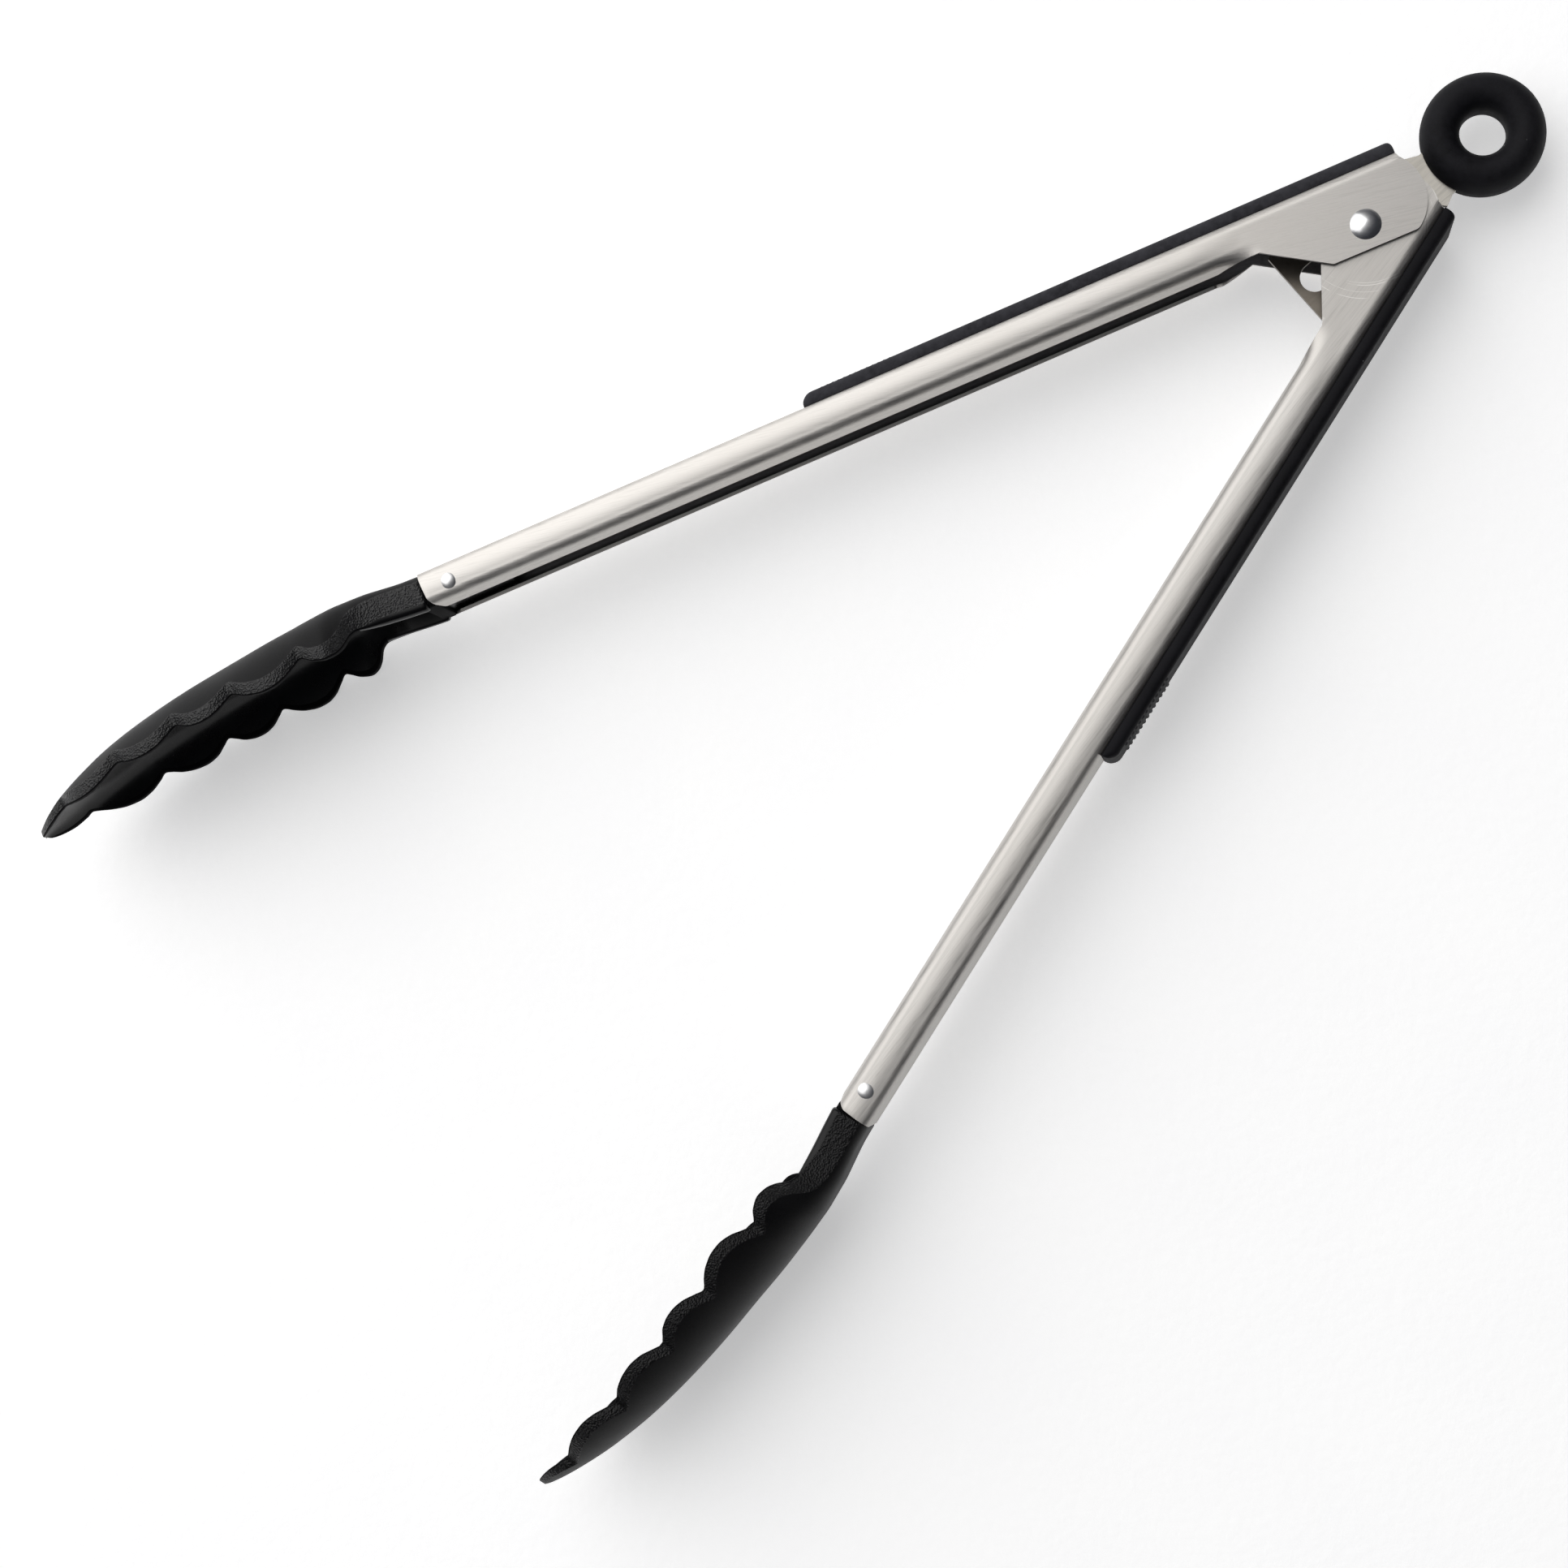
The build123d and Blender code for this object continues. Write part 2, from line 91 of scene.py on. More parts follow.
# ------------------------------------------------------------------ node helpers
class Mat:
    def __init__(self, name, color, metallic=0.0, roughness=0.5):
        self.m = bpy.data.materials.new(name)
        self.m.use_nodes = True
        self.t = self.m.node_tree
        self.t.nodes.clear()
        self.out = self.t.nodes.new("ShaderNodeOutputMaterial")
        self.b = self.t.nodes.new("ShaderNodeBsdfPrincipled")
        self.t.links.new(self.b.outputs["BSDF"], self.out.inputs["Surface"])
        self.b.inputs["Base Color"].default_value = (*color, 1)
        self.b.inputs["Metallic"].default_value = metallic
        self.b.inputs["Roughness"].default_value = roughness
        self.coord = self.t.nodes.new("ShaderNodeTexCoord").outputs["Object"]

    def set(self, **kw):
        for k, v in kw.items():
            self.b.inputs[k.replace("_", " ")].default_value = v
        return self

    def node(self, kind, ins=None, **props):
        n = self.t.nodes.new(kind)
        for k, v in props.items():
            setattr(n, k, v)
        for k, v in (ins or {}).items():
            sock = n.inputs[k]
            if isinstance(v, bpy.types.NodeSocket):
                self.t.links.new(v, sock)
            else:
                sock.default_value = v
        return n

    def mapping(self, rot_z, scale, loc=(0, 0, 0)):
        m1 = self.node("ShaderNodeMapping", {"Vector": self.coord, "Rotation": (0, 0, rot_z), "Location": loc})
        return self.node("ShaderNodeMapping", {"Vector": m1.outputs[0], "Scale": scale}).outputs[0]

    def noise(self, vec, scale, detail=2.0, rough=0.5, dim="3D"):
        return self.node("ShaderNodeTexNoise", {"Vector": vec, "Scale": scale, "Detail": detail, "Roughness": rough},
                         noise_dimensions=dim).outputs["Fac"]

    def ramp(self, fac, *stops, mode="LINEAR"):
        n = self.node("ShaderNodeValToRGB", {"Fac": fac})
        n.color_ramp.interpolation = mode
        els = n.color_ramp.elements
        while len(els) < len(stops):
            els.new(0.5)
        for e, (p, c) in zip(els, stops):
            e.position = p
            e.color = (*c, 1) if isinstance(c, tuple) else (c, c, c, 1)
        return n.outputs["Color"]

    def remap(self, fac, a, b, c, d):
        return self.node("ShaderNodeMapRange", {"Value": fac, "From Min": a, "From Max": b, "To Min": c, "To Max": d}
                         ).outputs["Result"]

    def mixc(self, fac, a, b, blend="MIX"):
        n = self.node("ShaderNodeMix", data_type="RGBA", blend_type=blend)
        for key, v in (("Factor", fac), ("A", a), ("B", b)):
            sock = [i for i in n.inputs if i.name == key and i.enabled][0] if key == "Factor" else \
                [i for i in n.inputs if i.name == key and i.type == "RGBA"][0]
            if isinstance(v, bpy.types.NodeSocket):
                self.t.links.new(v, sock)
            elif isinstance(v, tuple):
                sock.default_value = (*v, 1)
            else:
                sock.default_value = v
        return [o for o in n.outputs if o.type == "RGBA"][0]

    def math(self, op, a, b=0.0, clamp=False):
        n = self.node("ShaderNodeMath", operation=op)
        n.use_clamp = clamp
        for i, v in enumerate((a, b)):
            if isinstance(v, bpy.types.NodeSocket):
                self.t.links.new(v, n.inputs[i])
            else:
                n.inputs[i].default_value = v
        return n.outputs[0]

    def bump(self, height, strength, distance, prev=None):
        n = self.node("ShaderNodeBump", {"Height": height, "Strength": strength, "Distance": distance})
        if prev is not None:
            self.t.links.new(prev, n.inputs["Normal"])
        return n.outputs["Normal"]

    def link(self, sock, name):
        self.t.links.new(sock, self.b.inputs[name])
        return self


def brushed(name, rot_z, color, rough, wear_ring=False, along=150.0, across=3400.0, grain=0.8, streak=0.8, shade=None):
    """Steel sheet with its brushed grain along one direction of the XY plane."""
    k = Mat(name, color, 1.0, rough)
    fine = k.noise(k.mapping(rot_z, (along, across, across)), 1.0, 3.0, 0.65)
    wide = k.noise(k.mapping(rot_z, (along * 0.55, across * 0.38, across * 0.38), (3, 1, 2)), 1.0, 2.0, 0.6)
    cloud = k.noise(k.mapping(rot_z, (14.0, 60.0, 60.0)), 1.0, 3.0, 0.6)
    both = k.math("ADD", k.math("MULTIPLY", fine, 0.6), k.math("MULTIPLY", wide, 0.4))
    tint = k.ramp(both, (0.30, tuple(c * (1 - 0.30 * grain) for c in color)), (0.5, color),
                  (0.72, tuple(min(1, c * (1 + 0.16 * grain)) for c in color)))
    tint = k.mixc(k.remap(cloud, 0.35, 0.7, 0.0, 0.35), tint, tuple(c * f for c, f in zip(color, (0.90, 0.885, 0.86))))
    dark = k.ramp(k.noise(k.mapping(rot_z, (160.0, 900.0, 900.0), (1, 5, 3)), 1.0, 2.0, 0.5), (0.0, 0.0), (0.71, 0.0), (0.80, 1.0))
    tint = k.mixc(k.math("MULTIPLY", dark, 0.35), tint, tuple(c * 0.62 for c in color))
    if wear_ring:
        # fine arc scratches where the other arm's ear has rubbed
        m = k.node("ShaderNodeSeparateXYZ", {"Vector": k.coord})
        dx = k.math("SUBTRACT", m.outputs["X"], PX * MM)
        r = k.math("SQRT", k.math("ADD", k.math("MULTIPLY", dx, dx), k.math("MULTIPLY", m.outputs["Y"], m.outputs["Y"])))
        part = k.noise(k.mapping(0, (260, 260, 260)), 1.0, 1.0)
        keep = k.ramp(part, (0.44, 0.0), (0.56, 1.0))
        marks = None
        for rr, half in ((0.01165, 0.00004), (0.01215, 0.00006), (0.0148, 0.00005), (0.0135, 0.00003)):
            d = k.math("ABSOLUTE", k.math("SUBTRACT", r, rr))
            line = k.remap(d, 0.0, half * 2, 1.0, 0.0)
            marks = line if marks is None else k.math("MAXIMUM", marks, line)
        marks = k.math("MULTIPLY", marks, keep)
        tint = k.mixc(k.math("MULTIPLY", marks, 0.65), tint, (0.93, 0.91, 0.88))
    if shade:
        # painted shade: between the two X positions the colour is mixed towards shade[2]
        x = k.node("ShaderNodeSeparateXYZ", {"Vector": k.coord}).outputs["X"]
        tint = k.mixc(k.remap(x, shade[0], shade[1], 0.0, 1.0), tint, shade[2])
    k.link(tint, "Base Color")
    k.link(k.remap(both, 0.3, 0.7, rough - 0.05, rough + 0.08), "Roughness")
    n1 = k.bump(wide, 0.10, 0.00004)
    n2 = k.bump(fine, 0.16, 0.00002, n1)
    pits = k.ramp(k.noise(k.mapping(rot_z, (700, 1600, 1600), (9, 2, 4)), 1.0, 1.0), (0.0, 1.0), (0.80, 1.0), (0.84, 0.0))
    n3 = k.bump(pits, 0.25, 0.00005, n2)
    k.link(n3, "Normal")
    if streak:
        # the brushing spreads reflections across the grain, never along it
        lay = k.node("ShaderNodeVectorTransform", {"Vector": (math.cos(rot_z), -math.sin(rot_z), 0.0)},
                     vector_type="VECTOR", convert_from="OBJECT", convert_to="WORLD").outputs[0]
        k.link(lay, "Tangent")
        k.set(Anisotropic=streak, Anisotropic_Rotation=0.25)
    return k.m


def rubber(name, dust=1.0, base=(0.0095, 0.0093, 0.0112)):
    """Soft-touch rubber: a dull black skin, powdery grain, lint and dust specks."""
    k = Mat(name, base, 0.0, 0.62)
    k.set(Specular_IOR_Level=0.10)
    fine = k.noise(k.coord, 5200.0, 3.0, 0.6)
    mid = k.noise(k.coord, 700.0, 3.0, 0.6)
    cloud = k.noise(k.coord, 90.0, 3.0, 0.55)
    tint = k.ramp(mid, (0.3, tuple(c * 0.72 for c in base)), (0.7, tuple(c * 1.5 for c in base)))
    tint = k.mixc(k.remap(cloud, 0.4, 0.75, 0.0, 0.55), tint, tuple(c * 2.0 for c in base))
    grain = k.ramp(fine, (0.42, 0.0), (0.80, 1.0))
    tint = k.mixc(k.math("MULTIPLY", grain, 0.30), tint, (0.020, 0.0205, 0.024))
    # specks of lint: a few cells of a Voronoi field, small and sharp
    v = k.node("ShaderNodeTexVoronoi", {"Vector": k.coord, "Scale": 620.0, "Randomness": 1.0})
    sep = k.node("ShaderNodeSeparateColor", {"Color": v.outputs["Color"]})
    chosen = k.math("GREATER_THAN", sep.outputs[0], 0.955)
    size = k.math("MULTIPLY", sep.outputs[1], 0.085)
    dot = k.math("LESS_THAN", v.outputs["Distance"], k.math("ADD", size, 0.03))
    speck = k.math("MULTIPLY", chosen, dot)
    tint = k.mixc(k.math("MULTIPLY", speck, 0.55 * dust), tint, (0.45, 0.46, 0.48))
    k.link(tint, "Base Color")
    k.link(k.remap(mid, 0.3, 0.7, 0.56, 0.70), "Roughness")
    n1 = k.bump(mid, 0.12, 0.00006)
    n2 = k.bump(fine, 0.35, 0.00003, n1)
    k.link(n2, "Normal")
    return k.m


def nylon(name, kind, spec=0.62, glint=(0.0125, 0.0125, 0.0142)):
    """Glass-filled nylon: shell with a fine spark-eroded grain, rims with a coarse one, and a smooth hollow."""
    base = (0.0034, 0.0033, 0.0038)
    k = Mat(name, base, 0.0, 0.42)
    cloud = k.noise(k.coord, 60.0, 3.0, 0.5)
    if kind == "shell":
        fine = k.noise(k.coord, 3600.0, 3.0, 0.62)
        mid = k.noise(k.coord, 1100.0, 2.0, 0.6)
        k.set(Specular_IOR_Level=0.17)
        tint = k.ramp(fine, (0.35, tuple(c * 0.7 for c in base)), (0.75, tuple(c * 2.1 for c in base)))
        k.link(k.mixc(k.remap(cloud, 0.4, 0.7, 0.0, 0.4), tint, tuple(c * 1.5 for c in base)), "Base Color")
        k.link(k.remap(cloud, 0.35, 0.65, 0.46, 0.54), "Roughness")
        n1 = k.bump(mid, 0.22, 0.00006)
        k.link(k.bump(fine, 0.50, 0.00004, n1), "Normal")
    elif kind == "rim":
        v = k.node("ShaderNodeTexVoronoi", {"Vector": k.coord, "Scale": 2500.0, "Randomness": 1.0})
        lump = k.noise(k.coord, 1500.0, 3.0, 0.6)
        h = k.math("ADD", k.math("MULTIPLY", v.outputs["Distance"], 0.7), k.math("MULTIPLY", lump, 0.6))
        k.set(Specular_IOR_Level=spec)
        # painted glint: the coarse grain's lumps are tinted lighter, towards the glint colour
        tint = k.ramp(lump, (0.40, tuple(c * 0.6 for c in base)), (0.68, glint))
        k.link(tint, "Base Color")
        k.link(k.remap(cloud, 0.35, 0.65, 0.33, 0.41), "Roughness")
        k.link(k.bump(h, 1.0, 0.00024), "Normal")
    elif kind == "edge":
        k.set(Specular_IOR_Level=0.05)
        k.link(k.ramp(cloud, (0.3, tuple(c * 0.8 for c in base)), (0.7, tuple(c * 1.3 for c in base))), "Base Color")
        k.link(k.remap(cloud, 0.35, 0.65, 0.62, 0.72), "Roughness")
        k.link(k.bump(k.noise(k.coord, 2600.0, 2.0, 0.5), 0.3, 0.00004), "Normal")
    else:
        wav = k.noise(k.coord, 170.0, 3.0, 0.5)
        k.set(Specular_IOR_Level=0.22, Coat_Weight=0.04, Coat_Roughness=0.16)
        k.link(k.ramp(cloud, (0.3, tuple(c * 0.8 for c in base)), (0.7, tuple(c * 1.25 for c in base))), "Base Color")
        k.link(k.remap(wav, 0.3, 0.7, 0.24, 0.34), "Roughness")
        n1 = k.bump(wav, 0.10, 0.00012)
        k.link(k.bump(k.noise(k.coord, 2600.0, 2.0, 0.5), 0.10, 0.00002, n1), "Normal")
    return k.m


def polished(name, color=(0.86, 0.86, 0.87), rough=0.12):
    k = Mat(name, color, 1.0, rough)
    a = k.noise(k.coord, 900.0, 3.0, 0.6)
    b = k.noise(k.coord, 260.0, 2.0, 0.5)
    k.link(k.ramp(a, (0.35, tuple(c * 0.86 for c in color)), (0.65, color)), "Base Color")
    k.link(k.remap(b, 0.35, 0.65, rough - 0.03, rough + 0.07), "Roughness")
    k.link(k.bump(b, 0.22, 0.0001, k.bump(a, 0.12, 0.00003)), "Normal")
    return k.m


# ------------------------------------------------------------------ materials
ARM_ROT = {"outer": HALF_OPEN - SKEW + math.radians(11), "inner": -(HALF_OPEN - SKEW) + math.radians(6)}
STEEL = (0.645, 0.622, 0.594)
# the inner arm's steel is the same steel darkened by 0.86: a painted-shade copy of it
steel = {"outer": brushed("steel_outer", ARM_ROT["outer"], STEEL, 0.36),
         "inner": brushed("steel_inner", ARM_ROT["inner"], tuple(c * 0.86 for c in STEEL), 0.36, wear_ring=True)}
# painted shade: the channel's inside gets a darker steel colour for the shade deep in the channel
inside = {a: brushed(f"steel_inside_{a}", ARM_ROT[a], (0.34, 0.335, 0.345), 0.42) for a in ("outer", "inner")}
# the sheared edge of the sheet: plain steel along the lips; round the ears it is darkened by painted shade standing in
# for the contact shadow there
cut = {a: brushed(f"steel_cut_{a}", ARM_ROT[a], (0.50, 0.485, 0.465), 0.40, streak=0.0,
                  shade=(-0.0975, -0.1035, (0.115, 0.110, 0.106))) for a in ("outer", "inner")}
# painted shadow: the plate darkens past the pivot, under the arms, for the outer ear's shadow on it
plate_steel = brushed("steel_plate", 0.0, (0.53, 0.505, 0.46), 0.34, across=2600, grain=1.2,
                      shade=((PX + 5.0) * MM, (PX + 13.0) * MM, (0.22, 0.195, 0.165)))
sleeve_steel = brushed("steel_sleeve", 0.0, (0.52, 0.52, 0.52), 0.34, along=1500, across=1500, streak=0.0)
spring_steel = polished("steel_spring", (0.50, 0.50, 0.51), 0.28)
rivet_polish = polished("steel_pivot", (0.90, 0.90, 0.91), 0.20)
rivet_satin = polished("rivet_satin", (0.93, 0.93, 0.93), 0.34)
ring_rubber = rubber("rubber_ring", 1.0)
# the two pads are one rubber: the outer is coloured lighter and the inner darker, as painted light and painted shade
grip_rubber = {"outer": rubber("rubber_grip_outer", 1.1, (0.036, 0.0357, 0.0415)),
               "inner": rubber("rubber_grip_inner", 1.1, (0.0065, 0.0063, 0.0078))}
ny_shell, ny_gloss = nylon("nylon_shell", "shell"), nylon("nylon_hollow", "gloss")
# the two rims are one nylon: the outer's brighter glint colour and the inner's darker one are painted light and
# painted shade; their specular levels differ too
ny_rim = {"outer": nylon("nylon_rim_outer", "rim", 0.50),
          "inner": nylon("nylon_rim_inner", "rim", 0.26, (0.0058, 0.0056, 0.0064))}
ny_edge = nylon("nylon_edge", "edge")


def mesh_object(name, verts, faces, mats, face_mat=None, smooth=True, angle=math.radians(40)):
    me = bpy.data.meshes.new(name)
    me.from_pydata([tuple(v) for v in verts], [], faces)
    for m in mats:
        me.materials.append(m)
    if face_mat is not None:
        me.polygons.foreach_set("material_index", face_mat)
    bm = bmesh.new()
    bm.from_mesh(me)
    bmesh.ops.recalc_face_normals(bm, faces=bm.faces)
    bm.to_mesh(me)
    bm.free()
    o = bpy.data.objects.new(name, me)
    bpy.context.scene.collection.objects.link(o)
    if smooth:
        me.polygons.foreach_set("use_smooth", [True] * len(me.polygons))
        me.set_sharp_from_angle(angle=angle)
    return o


# ------------------------------------------------------------------ scoop heads
BACK_LINE = [(206.25, -3.88), (210, -3.85), (215, -4.15), (220, -4.5), (225, -4.5), (230, -4.15), (240, -2.95),
             (250, -1.25), (260, 0.45), (270, 2.6), (280, 5.35), (290, 9.1), (296, 12.0), (300, 14.2),
             (303, 16.1), (304.5, 17.2)]
RIM_WIDE = [(206.25, 0.0), (214, 0.1), (219, 0.7), (222, 2.0), (225, 4.1), (228.5, 6.2), (234, 6.8), (242, 7.55),
            (250, 7.85), (258, 7.7), (264, 7.45), (272, 6.75), (279, 5.8), (285, 4.4), (290, 2.7), (295, 0.3),
            (299, -2.3), (302, -4.7), (304, -6.9), (304.5, -7.6)]
RIM_TOP = [(206.25, 4.3), (210, 4.15), (214, 3.9), (219, 3.55), (221.5, 3.4), (223, 4.0), (225, 6.3), (226.5, 7.3),
           (228.5, 7.75), (231, 7.2), (233, 6.0), (233.9, 5.6), (235.5, 6.7), (238, 8.6), (240.5, 9.6),
           (242.8, 9.85), (245.5, 9.5), (248, 8.6), (249.3, 7.9), (250.0, 7.7), (251.5, 8.6), (254, 10.2),
           (256.5, 11.0), (258.2, 11.15), (260.5, 10.85), (262.6, 9.9), (263.7, 9.5), (265.3, 10.4), (268, 12.1),
           (271, 13.0), (273.2, 13.15), (275.8, 12.9), (278, 12.2), (279.1, 12.0), (281, 13.1), (284, 14.8),
           (287, 15.8), (290, 16.1), (292.5, 15.9), (294.3, 15.6), (295.3, 15.5), (297, 16.3), (300, 17.7),
           (302.5, 18.5), (304.5, 18.9)]
TOP_LINE = [(206.25, 4.3), (210, 4.15), (214, 3.9), (219, 3.55), (221.5, 3.6), (224.5, 5.2), (228, 6.3), (234, 7.1),
            (242, 8.3), (250, 9.1), (257, 10.0), (264, 10.8), (272, 12.1), (279, 13.3), (288, 15.2), (295.3, 16.3),
            (300, 17.7), (302.5, 18.5), (304.5, 18.9)]
BAND_H = [(206.25, 6.4), (215, 6.2), (219, 5.6), (223, 4.3), (227, 3.3), (231, 2.8), (290, 2.8), (296, 2.4),
          (300, 2.0), (304.5, 1.3)]
FLARE = [(206.25, 7.0), (216, 7.0), (222, 5.0), (228, 3.6), (236, 3.0), (285, 3.0), (295, 2.5), (304.5, 2.2)]
FLOOR_T = [(206.25, 2.3), (288, 2.3), (296, 2.0), (300, 1.9), (303, 1.6), (304.5, 1.35)]
RIM_T = [(206.25, 2.4), (218, 2.4), (226, 1.6), (232, 1.3), (295, 1.3), (300, 1.1), (304.5, 0.7)]
INNER_POW = [(206.25, 9.0), (216, 9.0), (224, 6.0), (232, 4.6), (285, 4.5), (295, 3.5), (304.5, 2.5)]


def lin(table, u):
    if u <= table[0][0]:
        return table[0][1]
    for (a, fa), (b, fb) in zip(table, table[1:]):
        if u <= b:
            return fa + (fb - fa) * (u - a) / (b - a)
    return table[-1][1]


def smooth(table, u):
    n = len(table)
    if u <= table[0][0]:
        return table[0][1]
    if u >= table[-1][0]:
        return table[-1][1]
    i = max(k for k in range(n - 1) if table[k][0] <= u)
    x0, y0 = table[i]
    x1, y1 = table[i + 1]

    def slope(k):
        if k == 0:
            return (table[1][1] - table[0][1]) / (table[1][0] - table[0][0])
        if k == n - 1:
            return (table[-1][1] - table[-2][1]) / (table[-1][0] - table[-2][0])
        a = (table[k][1] - table[k - 1][1]) / (table[k][0] - table[k - 1][0])
        b = (table[k + 1][1] - table[k][1]) / (table[k + 1][0] - table[k][0])
        return 0.0 if a * b <= 0 else 2 * a * b / (a + b)
    h = x1 - x0
    t = (u - x0) / h
    m0, m1 = slope(i) * h, slope(i + 1) * h
    return ((2 * t**3 - 3 * t**2 + 1) * y0 + (t**3 - 2 * t**2 + t) * m0
            + (-2 * t**3 + 3 * t**2) * y1 + (t**3 - t**2) * m1)


def arc_pts(a, corner, b, n):
    """A quadratic turn from a to b round the corner point."""
    return [tuple((1 - t)**2 * a[i] + 2 * t * (1 - t) * corner[i] + t * t * b[i] for i in range(2))
            for t in [j / n for j in range(n + 1)]]


def head_half(u, half, inset=0.0):
    """Half section (w, v, zone) from the back's middle round the rim to the hollow's middle."""
    vb = smooth(BACK_LINE, u) + inset
    stem = max(0.0, min(1.0, (232 - u) / 20))
    wide = 9.5 + smooth(RIM_WIDE, u) - (9.5 - half) * stem - inset
    top = smooth(RIM_TOP, u) - inset * 0.8
    mean = smooth(TOP_LINE, u) - inset * 0.8
    band = lin(BAND_H, u)
    low = top - band
    k = lin(FLARE, u)
    ratio = max(0.02, (low - vb) / max(0.05, mean - band - vb))
    wr = wide * ratio ** (1 / k)
    fl = vb + lin(FLOOR_T, u)
    m = lin(INNER_POW, u)
    rt = lin(RIM_T, u)
    wi = (wide - rt) * max(0.02, (top - fl) / max(0.05, mean - fl)) ** (1 / m)
    wi = min(wi, wr - 0.75 * rt)
    n_out, n_in = 26, 24
    pts = []
    # shell: even steps along the power curve
    samples = [(wr * (i / 200), vb + (low - vb) * (i / 200)**k) for i in range(201)]
    acc = [0.0]
    for (w0, v0), (w1, v1) in zip(samples, samples[1:]):
        acc.append(acc[-1] + math.hypot(w1 - w0, v1 - v0))
    crease = min(0.14, band * 0.1)

    def along(curve, acc, dist):
        for i in range(1, len(acc)):
            if acc[i] >= dist:
                f = (dist - acc[i - 1]) / max(1e-9, acc[i] - acc[i - 1])
                return tuple(curve[i - 1][j] + f * (curve[i][j] - curve[i - 1][j]) for j in range(2))
        return curve[-1]
    stop = acc[-1] - crease
    for i in range(n_out + 1):
        w, v = along(samples, acc, stop * i / n_out)
        pts.append((w, v, 0))
    last = pts[-1]
    turn = arc_pts((last[0], last[1]), (wr, low), (wr, low + crease), 2)
    pts += [(w, v, 1) for w, v in turn[1:]]
    # band, a shade fuller at its middle
    soft = max(0.0, min(1.0, (223.0 - u) / 9.0))
    r_top = 0.30 if rt > 1.2 else rt * 0.25
    r_top += (1.55 - r_top) * soft * soft * (3 - 2 * soft)
    gloss = 2 if u < 221.0 else 3
    v0, v1 = low + crease, top - r_top
    for i in range(1, 5):
        t = i / 4
        pts.append((wr + 0.06 * math.sin(math.pi * t), v0 + (v1 - v0) * t, 1))
    turn = arc_pts((wr, v1), (wr, top), (wr - r_top, top), 6)
    pts += [(w, v, gloss) for w, v in turn[1:]]
    # rim top and its inner turn
    r_in = min(0.45, rt * 0.35)
    pts.append(((wr - r_top + wi + r_in) / 2, top + 0.02, gloss))
    pts.append((wi + r_in, top, gloss))
    inner = [(wi * (i / 200), fl + (top - fl) * (i / 200)**m) for i in range(200, -1, -1)]
    acc2 = [0.0]
    for (w0, v0), (w1, v1) in zip(inner, inner[1:]):
        acc2.append(acc2[-1] + math.hypot(w1 - w0, v1 - v0))
    first = along(inner, acc2, r_in)
    turn = arc_pts((wi + r_in, top), (wi, top), first, 4)
    pts += [(w, v, gloss) for w, v in turn[1:]]
    for i in range(1, n_in + 1):
        w, v = along(inner, acc2, r_in + (acc2[-1] - r_in) * i / n_in)
        pts.append((w, v, 2))
    return pts


def make_head(arm, half):
    us, insets = [], []
    r_end = 0.75                                  # rounding of the stem's shoulder
    us = [206.1 + r_end * (1 - math.cos(math.pi / 2 * j / 5)) for j in range(6)]
    insets = [r_end * (1 - math.sin(math.pi / 2 * j / 5)) * 0.85 for j in range(6)]
    u = us[-1]
    while u < 303.2:
        u += 0.42
        us.append(u)
        insets.append(0.0)
    for f, i in ((0.35, 0.02), (0.6, 0.06), (0.8, 0.14), (0.93, 0.25), (1.0, 0.42)):
        us.append(303.2 + 1.2 * f)
        insets.append(i)
    verts, rings, zones = [], [], []
    for u, ins in zip(us, insets):
        h = head_half(u, half, ins)
        loop = h + [(-w, v, z) for w, v, z in reversed(h[1:-1])]
        ring = []
        for w, v, z in loop:
            ring.append(len(verts))
            verts.append(place(arm, u, v, w))
        rings.append(ring)
        zones.append([z for _, _, z in loop])
    n = len(rings[0])
    faces, mats = [], []
    for r, (a, b) in enumerate(zip(rings, rings[1:])):
        for i in range(n):
            j = (i + 1) % n
            faces.append((a[i], a[j], b[j], b[i]))
            z = {zones[r][i], zones[r][j]}
            mats.append(3 if 3 in z else max(z))
    faces.append(tuple(reversed(rings[0])))
    mats.append(2)
    faces.append(tuple(rings[-1]))
    mats.append(1)
    o = mesh_object(f"{arm}_scoop", verts, faces, [ny_shell, ny_rim[arm], ny_gloss, ny_edge], mats, angle=math.radians(50))
    # the rim band meets the shell in a crisp crease
    bm = bmesh.new()
    bm.from_mesh(o.data)
    for e in bm.edges:
        if len(e.link_faces) == 2 and {f.material_index for f in e.link_faces} == {0, 1}:
            e.smooth = False
    bm.to_mesh(o.data)
    bm.free()
    return o


def box_loop(arm, s, n0, n1, half, r0, r1, inset=0.0):
    """Rounded rectangle across the channel: r0 at the back's corners, r1 at the open side's."""
    pts = []
    n0 += inset
    n1 -= inset
    half -= inset
    for (cw, cn, a0, r) in ((half - r0, n0 + r0, -90, r0), (half - r1, n1 - r1, 0, r1),
                            (-half + r1, n1 - r1, 90, r1), (-half + r0, n0 + r0, 180, r0)):
        for j in range(7):
            a = math.radians(a0 + 90 * j / 6)
            pts.append(channel(arm, s, cn + r * math.sin(a), cw + r * math.cos(a)))
    return pts


